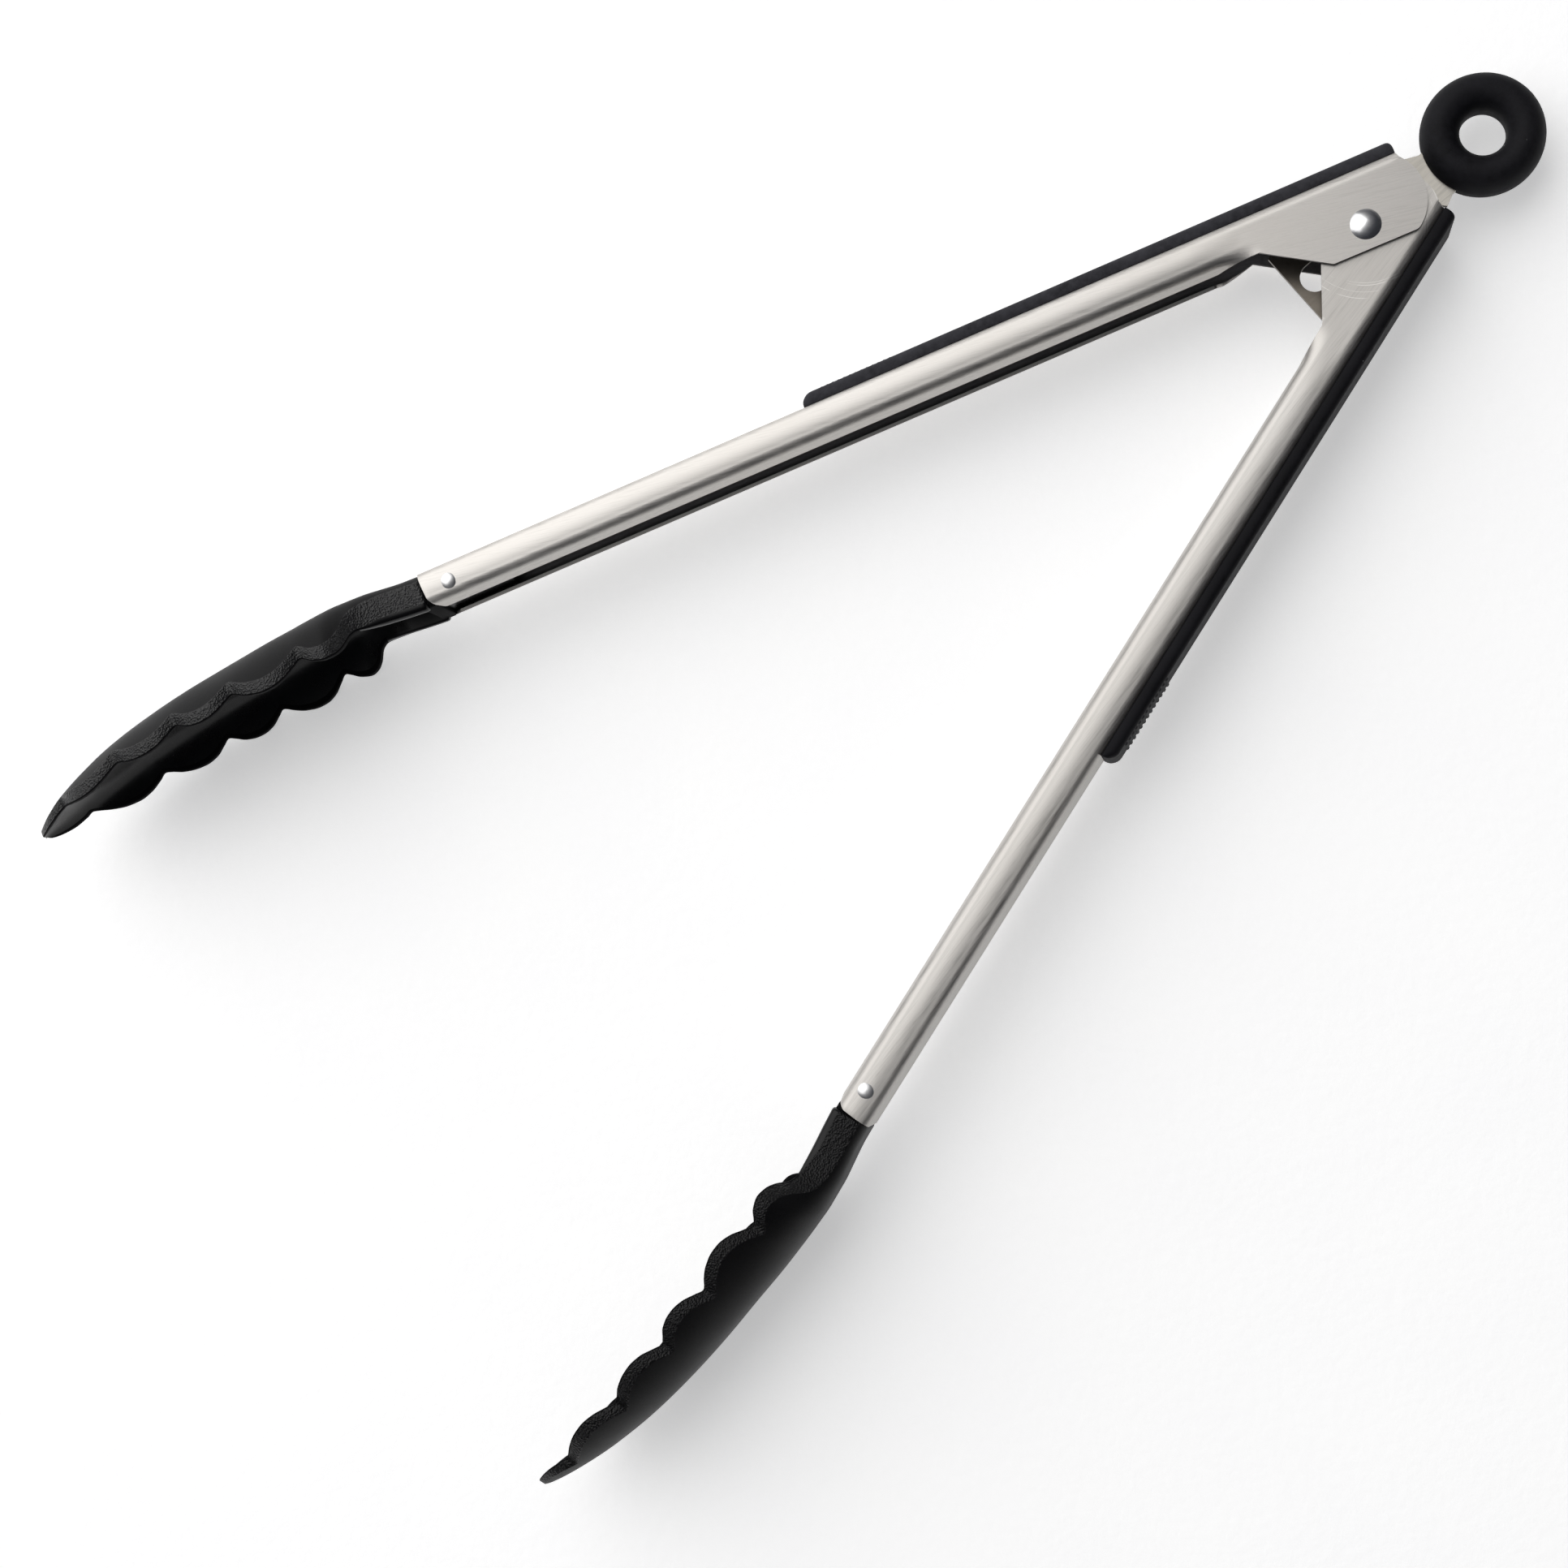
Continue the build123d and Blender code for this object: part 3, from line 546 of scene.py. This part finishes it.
def make_tenon(arm, half):
    """The stem's tongue inside the channel, with its web to the shoulder."""
    ih = half - SHEET - 0.14
    n0, n1 = -BACK + SHEET + 0.12, -BACK + DEPTH - SHEET - 0.78
    verts, faces = [], []
    stations = [(188.6, 0.5), (188.75, 0.25), (189.1, 0.0), (206.9, 0.0)]
    rings = []
    for s, inset in stations:
        loop = box_loop(arm, s, n0, n1, ih, 1.3, 1.9, inset)
        rings.append(list(range(len(verts), len(verts) + len(loop))))
        verts += loop
    n = len(rings[0])
    for a, b in zip(rings, rings[1:]):
        for i in range(n):
            faces.append((a[i], a[(i + 1) % n], b[(i + 1) % n], b[i]))
    faces.append(tuple(reversed(rings[0])))
    faces.append(tuple(rings[-1]))
    rings = []
    for s, inset in ((204.3, 0.5), (204.45, 0.15), (204.8, 0.0), (207.2, 0.0)):
        loop = box_loop(arm, s, n0 + 2.0, -BACK + DEPTH - 0.45, ih, 1.3, 1.0, inset)
        rings.append(list(range(len(verts), len(verts) + len(loop))))
        verts += loop
    for a, b in zip(rings, rings[1:]):
        for i in range(n):
            faces.append((a[i], a[(i + 1) % n], b[(i + 1) % n], b[i]))
    faces.append(tuple(reversed(rings[0])))
    faces.append(tuple(rings[-1]))
    half_way = len(faces) // 2
    mats = [0 if i < half_way else 1 for i in range(len(faces))]
    return mesh_object(f"{arm}_scoop_tongue", verts, faces, [ny_gloss, ny_edge], mats, angle=math.radians(35))


for arm, half in (("outer", OUTER_HALF), ("inner", INNER_HALF)):
    scoop = make_head(arm, half)
    tongue = make_tenon(arm, half)
    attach(scoop, f"{arm}_arm_body")
    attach(tongue, f"{arm}_arm_body")
    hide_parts(f"{arm}_head")



# ------------------------------------------------------------------ arms: one sheet, unfolded, cut out and folded
R_BACK, R_LIP, LIP_ANGLE, LIP_FLAT = 2.0, 2.2, math.radians(78.0), 2.6
CH_END = 205.9


def to_sn(u, v):
    return (u * math.cos(SKEW) + v * math.sin(SKEW), -u * math.sin(SKEW) + v * math.cos(SKEW))


def make_arm(arm, half):
    n_side = -BACK + DEPTH - (R_LIP * math.sin(LIP_ANGLE) + LIP_FLAT * math.cos(LIP_ANGLE))
    l_back = R_BACK * math.pi / 2                # developed lengths, on the outside
    l_lip = R_LIP * LIP_ANGLE
    p_bend, p_wall = half - R_BACK, half - R_BACK + l_back
    n_wall = -BACK + R_BACK
    p_lip = p_wall + (n_side - n_wall)
    p_edge = p_lip + l_lip + LIP_FLAT
    near = 1 if arm == "outer" else -1           # which wall faces up
    a = to_sn(21.43, -2.43)
    b = to_sn(8.57, 5.23)
    c = to_sn(-9.3, 4.69)
    nose = to_sn(-13.5, -3.2)

    def p_of(n):
        return p_wall + (n - n_wall)

    def lip_phi(s):
        t = max(0.0, min(1.0, (s - 21.0) / 9.5))
        return max(1e-4, LIP_ANGLE * (t * t * (3 - 2 * t)) ** 0.8)

    def lip_nw(s, p):
        """Folded place of a point past the wall, from its developed distance."""
        phi = lip_phi(s)
        r = l_lip / phi
        if p <= p_lip + l_lip:
            th = (p - p_lip) / r
            return n_side + r * math.sin(th), half - r + r * math.cos(th), math.sin(th), math.cos(th)
        d = p - p_lip - l_lip
        return (n_side + r * math.sin(phi) + d * math.cos(phi), half - r + r * math.cos(phi) - d * math.sin(phi),
                math.sin(phi), math.cos(phi))

    def edge_at(s, a):
        """Developed distance of the free edge, so that it runs straight on from the ear."""
        n_full = n_side + R_LIP * math.sin(LIP_ANGLE) + LIP_FLAT * math.cos(LIP_ANGLE)
        t = max(0.0, min(1.0, (s - a[0]) / 9.0))
        target = a[1] + (n_full - a[1]) * t
        lo, hi = p_lip, p_edge
        if lip_nw(s, hi)[0] <= target:
            return hi
        for _ in range(40):
            mid = (lo + hi) / 2
            if lip_nw(s, mid)[0] < target:
                lo = mid
            else:
                hi = mid
        return (lo + hi) / 2

    def rounded(p0, p1, p2, r, steps=6):
        """Fillet of the corner p1 in the flat pattern."""
        v1, v2 = Vector(p0) - Vector(p1), Vector(p2) - Vector(p1)
        ang = v1.angle(v2)
        d = min(r / math.tan(ang / 2), v1.length * 0.45, v2.length * 0.45)
        q0, q2 = Vector(p1) + v1.normalized() * d, Vector(p1) + v2.normalized() * d
        return [tuple(q0 * (1 - t)**2 + Vector(p1) * 2 * t * (1 - t) + q2 * t * t) for t in [j / steps for j in range(steps + 1)]]

    # circle through C, nose and tail in the flattened wall
    tail = (-10.9, p_of(n_wall) - l_back)
    pc, pn, pt_ = (c[0], p_of(c[1])), (nose[0], p_of(nose[1])), (-11.15, p_of(n_wall) - 0.6)
    ax, ay, bx, by, cx, cy = *pc, *pn, *pt_
    dd = 2 * (ax * (by - cy) + bx * (cy - ay) + cx * (ay - by))
    ux = ((ax * ax + ay * ay) * (by - cy) + (bx * bx + by * by) * (cy - ay) + (cx * cx + cy * cy) * (ay - by)) / dd
    uy = ((ax * ax + ay * ay) * (cx - bx) + (bx * bx + by * by) * (ax - cx) + (cx * cx + cy * cy) * (bx - ax)) / dd
    rad = math.hypot(ax - ux, ay - uy)
    a0, a1 = math.atan2(ay - uy, ax - ux), math.atan2(cy - uy, cx - ux)
    if a0 < 0:
        a0 += 2 * math.pi
    if a1 < 0:
        a1 += 2 * math.pi
    if a1 < a0:
        a1 += 2 * math.pi
    arc = [(ux + rad * math.cos(a0 + (a1 - a0) * t / 40), uy + rad * math.sin(a0 + (a1 - a0) * t / 40)) for t in range(41)]
    def outline(drop):
        """Half of the flat pattern, from the hinge end to the mouth; drop lowers the ear."""
        la, lb = (a[0], a[1] - drop), (b[0], b[1] - drop)
        A, B, C = (la[0], p_of(la[1])), (lb[0], p_of(lb[1])), pc
        out = [(-10.9, 0.0), (-10.9, p_bend), (-11.0, p_bend + l_back * 0.5)]
        out += list(reversed(arc))[:-1]
        if drop:
            f = 2.4 / math.dist(b, c)
            C1 = (C[0] + (b[0] - c[0]) * f, C[1] + (p_of(b[1]) - C[1]) * f)
            out += rounded(arc[3], C, C1, 1.6)[:-1]
            out += rounded(C, C1, B, 0.4)
            out += rounded(C1, B, A, 0.5)
        else:
            out += rounded(arc[3], C, B, 1.6)
            out += rounded(C, B, A, 0.5)
        out += rounded(B, A, (23.5, edge_at(23.5, la)), 0.35)
        out += [(x, edge_at(x, la)) for x in [22.4 + 0.35 * j for j in range(26)]]
        end_lo, end_hi = (CH_END - 0.35, p_lip), (CH_END - 2.7, p_edge)
        out += rounded((100, p_edge), end_hi, end_lo, 1.1)
        out += rounded(end_hi, (CH_END - 0.3, p_lip + 0.6), (CH_END, p_bend), 1.5)
        out += [(CH_END - 0.05, p_wall), (CH_END, p_bend), (CH_END, 0.0)]
        return out

    up, down = outline(0.0), outline(2.6)
    if near < 0:
        up, down = down, up
    pts = up + [(s, -p) for s, p in reversed(down[1:-1])]
    clean = []
    for q in pts:
        if not clean or math.hypot(q[0] - clean[-1][0], q[1] - clean[-1][1]) > 0.02:
            clean.append(q)
    bm = bmesh.new()
    vs = [bm.verts.new((q[0], q[1], 0)) for q in clean]
    bm.faces.new(vs)
    cuts = [("p", x) for sgn in (1, -1) for x in
            [sgn * p_bend] + [sgn * (p_bend + l_back * i / 10) for i in range(1, 11)]
            + [sgn * (p_lip + l_lip * i / 12) for i in range(0, 13)]
            + [sgn * (p_wall + (p_lip - p_wall) * i / 8) for i in range(1, 8)]
            + [sgn * (p_edge - LIP_FLAT / 2), sgn * (p_lip + 7.0), sgn * (p_lip + 9.5)]]
    cuts += [("p", 0.0)]
    s = 19.0
    while s < 40.0:
        cuts.append(("s", s))
        s += 0.8
    while s < CH_END:
        cuts.append(("s", s))
        s += 8.0
    cuts += [("s", x) for x in (-9.0, -6.0, -3.0, 0.0, 3.0, 6.0, 9.0, 12.0, 15.0, 203.6, 204.6)]
    for kind, x in cuts:
        geom = bm.verts[:] + bm.edges[:] + bm.faces[:]
        co, no = ((x, 0, 0), (1, 0, 0)) if kind == "s" else ((0, x, 0), (0, 1, 0))
        bmesh.ops.bisect_plane(bm, geom=geom, dist=0.012, plane_co=co, plane_no=no)
    bmesh.ops.remove_doubles(bm, verts=bm.verts[:], dist=0.015)

    def fold(s, p, depth=0.0):
        """Point of the folded sheet, depth under its outside."""
        sg = 1 if p >= 0 else -1
        p = abs(p)
        if p <= p_bend:
            n, w, nn, nw = -BACK, p, -1.0, 0.0
        elif p <= p_wall:
            th = (p - p_bend) / R_BACK
            n, w = -BACK + R_BACK - R_BACK * math.cos(th), p_bend + R_BACK * math.sin(th)
            nn, nw = -math.cos(th), math.sin(th)
        elif p <= p_lip:
            q = 2 * (p - p_wall) / (p_lip - p_wall) - 1
            t = max(0.0, min(1.0, (s - 24.0) / 10.0))
            n, w, nn, nw = n_wall + (p - p_wall), half + 0.15 * t * (1 - q * q), 0.0, 1.0
        else:
            n, w, nn, nw = lip_nw(s, p)
        n -= nn * depth
        w -= nw * depth
        return channel(arm, s, n, sg * w)

    flat = {v: (v.co.x, v.co.y) for v in bm.verts}
    for v, (s, p) in flat.items():
        v.co = fold(s, p) / MM
    bmesh.ops.recalc_face_normals(bm, faces=bm.faces[:])
    me = bpy.data.meshes.new(f"{arm}_channel")
    bm.to_mesh(me)
    # make sure the outside is out: the back's middle faces away from the other arm
    out = (fold(100, 0) - fold(100, 0, 1.0))
    back_face = max(me.polygons, key=lambda f: abs(f.normal.dot(out.normalized())) * (f.area if abs((f.center - fold(100, 0) / MM).length) < 60 else 0))
    if back_face.normal.dot(out) < 0:
        me.flip_normals()
    bm.free()
    me.transform(Matrix.Scale(MM, 4))
    o = bpy.data.objects.new(f"{arm}_channel", me)
    bpy.context.scene.collection.objects.link(o)
    me.polygons.foreach_set("use_smooth", [True] * len(me.polygons))
    me.materials.append(steel[arm])
    me.materials.append(inside[arm])
    me.materials.append(cut[arm])
    sol = o.modifiers.new("thickness", "SOLIDIFY")
    sol.material_offset, sol.material_offset_rim = 1, 2
    sol.thickness, sol.offset, sol.use_even_offset = SHEET * MM, -1.0, True
    bev = o.modifiers.new("edges", "BEVEL")
    bev.width, bev.segments, bev.limit_method, bev.angle_limit = 0.11 * MM, 2, "ANGLE", math.radians(60)
    wn = o.modifiers.new("normals", "WEIGHTED_NORMAL")
    wn.mode, wn.weight, wn.keep_sharp = "FACE_AREA", 80, False
    dg = bpy.context.evaluated_depsgraph_get()
    done = bpy.data.meshes.new_from_object(o.evaluated_get(dg))
    o.modifiers.clear()
    o.data = done
    done.name = f"{arm}_channel"
    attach(o, f"{arm}_arm_body")
    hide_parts(f"{arm}_arm")
    return o


for arm, half in (("outer", OUTER_HALF), ("inner", INNER_HALF)):
    make_arm(arm, half)


# ------------------------------------------------------------------ grips
def make_grip(arm):
    proud, half = 2.8, 8.1
    s0, s1 = -11.0, 117.6
    rib_s0, pitch, ribs = 97.6, 1.27, 13

    def thickness(s):
        """How far the pad stands off the back, with its ends rounded over."""
        t = proud
        r1, r0 = 2.5, 1.0
        if s > s1 - r1:
            d = (s - (s1 - r1)) / r1
            t = proud - r1 * (1 - math.sqrt(max(0.0, 1 - d * d)))
        if s < s0 + r0:
            d = ((s0 + r0) - s) / r0
            t = min(t, proud - r0 * (1 - math.sqrt(max(0.0, 1 - d * d))))
        return t

    stations = []
    s = s0
    for j in range(7):
        stations.append(s0 + 1.0 * (1 - math.cos(math.pi / 2 * j / 6)))
    while stations[-1] < rib_s0 - 2.0:
        stations.append(stations[-1] + 1.1)
    while stations[-1] < s1 - 2.6:
        stations.append(stations[-1] + 0.105)
    for j in range(1, 10):
        stations.append(s1 - 2.5 + 2.5 * math.sin(math.pi / 2 * j / 9))
    verts, faces, rings = [], [], []
    r_edge = 1.3
    for s in stations:
        t = thickness(s)
        r = min(r_edge, t * 0.6)
        top = -BACK - t
        loop = []
        # underside, left to right, then over the top
        loop.append((-half + 0.25, -BACK + 0.0))
        for i in range(1, 12):
            loop.append((-half + 0.25 + (2 * half - 0.5) * i / 12, -BACK))
        loop.append((half - 0.25, -BACK))
        loop.append((half, -BACK - min(0.25, t * 0.3)))
        for j in range(8):
            a = math.pi / 2 * j / 7
            loop.append((half - r + r * math.cos(a), top + r - r * math.sin(a)))
        nn = 30
        rib = 0.0
        for q in range(ribs):
            d = abs(s - (rib_s0 + q * pitch))
            if d < 0.46:
                rib = max(rib, math.sqrt(max(0.0, 0.46**2 - d * d)) * 0.72)
        for i in range(1, nn):
            w = (half - r) - 2 * (half - r) * i / nn
            edge = min(1.0, max(0.0, (6.4 - abs(w)) / 0.5))
            edge = edge * edge * (3 - 2 * edge)
            crown = 0.0
            loop.append((w, top - rib * edge - crown))
        for j in range(8):
            a = math.pi / 2 * (1 - j / 7)
            loop.append((-half + r - r * math.cos(a), top + r - r * math.sin(a)))
        loop.append((-half, -BACK - min(0.25, t * 0.3)))
        ring = []
        for w, n in loop:
            ring.append(len(verts))
            verts.append(channel(arm, s, n, w))
        rings.append(ring)
    n = len(rings[0])
    for a, b in zip(rings, rings[1:]):
        for i in range(n):
            faces.append((a[i], a[(i + 1) % n], b[(i + 1) % n], b[i]))
    faces.append(tuple(reversed(rings[0])))
    faces.append(tuple(rings[-1]))
    o = mesh_object(f"{arm}_grip_pad", verts, faces, [grip_rubber[arm]], angle=math.radians(55))
    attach(o, f"{arm}_arm_body")
    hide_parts(f"{arm}_grip")
    # the pegs' flanges inside the channel
    for q, s in enumerate((35.0, 60.0, 85.0, 108.0)):
        prof = [(0.0, 0.9), (2.3, 0.9), (2.75, 0.78), (2.98, 0.5), (3.0, 0.03), (2.02, 0.0), (2.0, -0.7)]
        vs, fs = [], []
        seg = 40
        for r, h in prof[1:]:
            for i in range(seg):
                a = 2 * math.pi * i / seg
                vs.append(channel(arm, s + r * math.cos(a), -BACK + SHEET + h, r * math.sin(a)))
        vs.append(channel(arm, s, -BACK + SHEET + 0.93, 0))
        for k in range(len(prof) - 2):
            for i in range(seg):
                j = (i + 1) % seg
                fs.append((k * seg + i, k * seg + j, (k + 1) * seg + j, (k + 1) * seg + i))
        for i in range(seg):
            fs.append((len(vs) - 1, i, (i + 1) % seg))
        fs.append(tuple((len(prof) - 2) * seg + i for i in range(seg)))
        peg = mesh_object(f"{arm}_grip_peg_{q + 1}", vs, fs, [grip_rubber[arm]], angle=math.radians(35))
        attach(peg, f"{arm}_arm_body")


for arm in ("outer", "inner"):
    make_grip(arm)


# ------------------------------------------------------------------ hanging ring
def make_ring():
    cx = PX - 31.0
    outer_r, hole, h = 12.5, 4.65, 5.5
    # closed section (radius, height), a fat oval with a short land in the hole
    sec = []
    keys = [(hole, -1.0), (hole, 1.0), (4.95, 2.65), (5.85, 4.25), (7.15, 5.2), (8.7, h), (10.2, 5.05), (11.45, 3.85),
            (12.25, 2.0), (outer_r, 0.0), (12.25, -2.0), (11.45, -3.85), (10.2, -5.05), (8.7, -h), (7.15, -5.2),
            (5.85, -4.25), (4.95, -2.65)]
    m = len(keys)
    for i in range(m):
        p0, p1, p2, p3 = (keys[(i + j - 1) % m] for j in range(4))
        for q in range(4):
            t = q / 4
            sec.append(tuple(0.5 * ((2 * p1[c]) + (-p0[c] + p2[c]) * t + (2 * p0[c] - 5 * p1[c] + 4 * p2[c] - p3[c]) * t * t
                                    + (-p0[c] + 3 * p1[c] - 3 * p2[c] + p3[c]) * t**3) for c in range(2)))
    seg = 160
    verts, faces = [], []
    nub = math.radians(179.0)                    # where the mould's gate was trimmed
    for i in range(seg):
        a = 2 * math.pi * i / seg
        d = (a - nub + math.pi) % (2 * math.pi) - math.pi
        for r, z in sec:
            rr = min(r, outer_r) if r > 12 else max(r, hole)
            if r > 12.0 and abs(z) < 1.2:         # parting line
                rr -= 0.045 * math.exp(-(z / 0.22)**2)
                rr += 0.12 * max(0.0, min(1.0, 3.0 * (1 - abs(d) / 0.055)))
            verts.append(Vector(((cx + rr * math.cos(a)) * MM, rr * math.sin(a) * MM, (z + PZ) * MM)))
    k = len(sec)
    for i in range(seg):
        for j in range(k):
            a, b = i * k, ((i + 1) % seg) * k
            faces.append((a + j, a + (j + 1) % k, b + (j + 1) % k, b + j))
    o = mesh_object("pull_ring", verts, faces, [ring_rubber], angle=math.radians(60))
    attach(o, "lock_tab")
    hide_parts("hanging_ring")


make_ring()


# ------------------------------------------------------------------ torsion spring
def make_spring():
    wire, coil_r, turns, pitch, z0 = 0.6, 4.4, 3, 1.35, -6.9
    ch = 20.03 - 2.1
    e_s, e_n = 21.0, -((BACK - SHEET) - wire - 0.08)
    dist = math.hypot(e_s, e_n)
    t_ang = math.degrees(math.atan2(e_n, e_s)) - (90 - math.degrees(math.asin(coil_r / dist))) - ch
    sweep = 360 * turns + (2 * (180 + t_ang))
    height = pitch * sweep / 360
    leg = math.sqrt(dist * dist - coil_r * coil_r)
    path = []

    def on(ang, z):
        a = math.radians(ang)
        return Vector((coil_r * math.cos(a), coil_r * math.sin(a), z))

    def direction(ang):
        a = math.radians(ang)
        return Vector((math.cos(a), math.sin(a), 0))
    start = on(t_ang, z0)
    d = direction(t_ang + 90)
    for j in range(24, 0, -1):
        path.append(start + d * (leg * j / 24))
    steps = int(sweep / 6)
    for j in range(steps + 1):
        f = j / steps
        path.append(on(t_ang - sweep * f, z0 + height * f))
    end_ang = -t_ang
    end = on(end_ang, z0 + height)
    d2 = direction(end_ang - 90)
    for j in range(1, 25):
        path.append(end + d2 * (leg * j / 24))
    # tube with rounded ends
    path = [p for i, p in enumerate(path) if i == 0 or (p - path[i - 1]).length > 1e-4]
    seg = 20
    verts, faces, rings = [], [], []
    tang = []
    for i in range(len(path)):
        a, b = path[max(0, i - 1)], path[min(len(path) - 1, i + 1)]
        tang.append((b - a).normalized())
    up = Vector((0, 0, 1))
    stations = [(path[0] + tang[0] * -0.0, tang[0], 0.3), ] + [(p, t, 1.0) for p, t in zip(path, tang)] + \
        [(path[-1], tang[-1], 0.3)]
    stations[0] = (path[0] - tang[0] * 0.0, tang[0], 0.62)
    stations[1] = (path[0] + tang[0] * 0.18, tang[0], 1.0)
    stations[-1] = (path[-1], tang[-1], 0.62)
    stations[-2] = (path[-1] - tang[-1] * 0.18, tang[-1], 1.0)
    for p, t, f in stations:
        side = t.cross(up).normalized()
        nup = side.cross(t).normalized()
        ring = []
        for i in range(seg):
            a = 2 * math.pi * i / seg
            q = p + (side * math.cos(a) + nup * math.sin(a)) * wire * f
            ring.append(len(verts))
            verts.append(Vector(((q.x + PX) * MM, q.y * MM, (q.z + PZ) * MM)))
        rings.append(ring)
    for a, b in zip(rings, rings[1:]):
        for i in range(seg):
            faces.append((a[i], a[(i + 1) % seg], b[(i + 1) % seg], b[i]))
    faces.append(tuple(reversed(rings[0])))
    faces.append(tuple(rings[-1]))
    o = mesh_object("spring_wire", verts, faces, [spring_steel], angle=math.radians(50))
    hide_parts("torsion_spring")
    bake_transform(o)


make_spring()


# ------------------------------------------------------------------ carried-over CAD nodes
def dress(node, mat):
    o = frame["nodes"][node]
    o.data.materials.clear()
    o.data.materials.append(mat)
    return o


for arm in ("outer", "inner"):
    dress(f"{arm}_head_rivet", rivet_satin)
dress("pivot_rivet", rivet_polish)
dress("pivot_sleeve", sleeve_steel)
dress("lock_plate", plate_steel)


# ------------------------------------------------------------------ floor, light, camera
def floor_material():
    k = Mat("paper", (0.86, 0.86, 0.865), 0.0, 0.9)
    a = k.noise(k.coord, 420.0, 4.0, 0.6)
    b = k.noise(k.coord, 1800.0, 2.0, 0.5)
    k.link(k.ramp(k.noise(k.coord, 30.0, 2.0), (0.3, (0.885, 0.885, 0.892)), (0.7, (0.905, 0.905, 0.905))), "Base Color")
    k.link(k.bump(b, 0.10, 0.0001, k.bump(a, 0.22, 0.0006)), "Normal")
    # the paper's own glow stands in for light coming through it from the table
    k.b.inputs["Emission Color"].default_value = (1.0, 1.0, 1.0, 1)
    k.set(Emission_Strength=0.45)
    return k.m


def make_floor():
    # rests under the rims of both heads and the pivot rivet's lower head
    x1, z1 = PX, PZ - 10.65
    x2, z2 = 131.0, 0.0
    slope = (z2 - z1) / (x2 - x1)
    bm = bmesh.new()
    n, size = 24, 2.4
    grid = [[bm.verts.new((size * (i / n - 0.5) * 2, size * (j / n - 0.5) * 2, 0)) for j in range(n + 1)] for i in range(n + 1)]
    for i in range(n):
        for j in range(n):
            bm.faces.new((grid[i][j], grid[i + 1][j], grid[i + 1][j + 1], grid[i][j + 1]))
    gap = 1.0
    for ob in bpy.context.scene.objects:
        if ob.type == "MESH" and not ob.hide_render:
            gap = min(gap, min((p.z - (z2 + slope * (p.x / MM - x2)) * MM
                                for p in (ob.matrix_world @ v.co for v in ob.data.vertices)), default=1.0))
    for v in bm.verts:
        v.co.z = (z2 + slope * (v.co.x / MM - x2)) * MM + gap - 0.00002
    me = bpy.data.meshes.new("floor")
    bm.to_mesh(me)
    bm.free()
    me.materials.append(floor_material())
    o = bpy.data.objects.new("floor", me)
    bpy.context.scene.collection.objects.link(o)


make_floor()


def area_light(name, loc, target, size, power, color=(1, 1, 1), size_y=None):
    d = bpy.data.lights.new(name, "AREA")
    d.shape = "RECTANGLE"
    d.size, d.size_y = size, size_y or size
    d.energy = power
    d.color = color
    o = bpy.data.objects.new(name, d)
    o.location = loc
    o.rotation_mode = "QUATERNION"
    o.rotation_quaternion = (Vector(target) - Vector(loc)).to_track_quat("-Z", "Y")
    bpy.context.scene.collection.objects.link(o)
    return o


area_light("key", (0.27, -0.86, 0.95), (0.02, 0.0, 0.0), 2.05, 14.0, (1.0, 0.994, 0.985))
area_light("top", (-0.05, -0.68, 1.75), (-0.02, -0.3, 0.0), 1.2, 0.5, (1.0, 0.99, 0.975), 0.95)

world = bpy.data.worlds.new("studio")
bpy.context.scene.world = world
world.use_nodes = True
wt = world.node_tree
wt.nodes.clear()
wo = wt.nodes.new("ShaderNodeOutputWorld")
wb = wt.nodes.new("ShaderNodeBackground")
wc = wt.nodes.new("ShaderNodeTexCoord")
wd = wt.nodes.new("ShaderNodeVectorMath")
wd.operation = "DOT_PRODUCT"
wd.inputs[1].default_value = (0.10, -0.60, 0.79)
wr = wt.nodes.new("ShaderNodeValToRGB")
wt.links.new(wc.outputs["Generated"], wd.inputs[0])
wt.links.new(wd.outputs["Value"], wr.inputs[0])
wr.color_ramp.interpolation = "B_SPLINE"
for e, (p, c) in zip([wr.color_ramp.elements[0], wr.color_ramp.elements[1], wr.color_ramp.elements.new(0.38),
                      wr.color_ramp.elements.new(0.62), wr.color_ramp.elements.new(0.80)],
                     [(0.0, (0.020, 0.021, 0.025, 1)), (1.0, (0.42, 0.417, 0.41, 1)), (0.38, (0.050, 0.052, 0.060, 1)),
                      (0.62, (0.16, 0.162, 0.17, 1)), (0.80, (0.34, 0.339, 0.336, 1))]):
    e.position, e.color = p, c
wt.links.new(wr.outputs[0], wb.inputs["Color"])
wt.links.new(wb.outputs[0], wo.inputs["Surface"])
wb.inputs["Strength"].default_value = 1.0

cam_data = bpy.data.cameras.new("camera")
cam = bpy.data.objects.new("camera", cam_data)
bpy.context.scene.collection.objects.link(cam)
cam_data.sensor_fit = "AUTO"
cam_data.sensor_width = 36.0
cam_data.lens = 61.88
cam_data.clip_start, cam_data.clip_end = 0.01, 20.0
right = Vector((-0.75990885, 0.63082375, -0.15684366))
up = -Vector((0.6451962, 0.76134278, -0.06386738))
back = -Vector((0.07912273, -0.14972832, -0.9855562))
rot = Matrix((right, up, back)).transposed()
cam.matrix_world = Matrix.Translation(Vector(((117.6114 + PX) * MM, 92.2496 * MM, (549.987 + PZ) * MM))) @ rot.to_4x4()
bpy.context.scene.camera = cam
bpy.context.scene.view_settings.view_transform = "Standard"
bpy.context.scene.view_settings.look = "None"
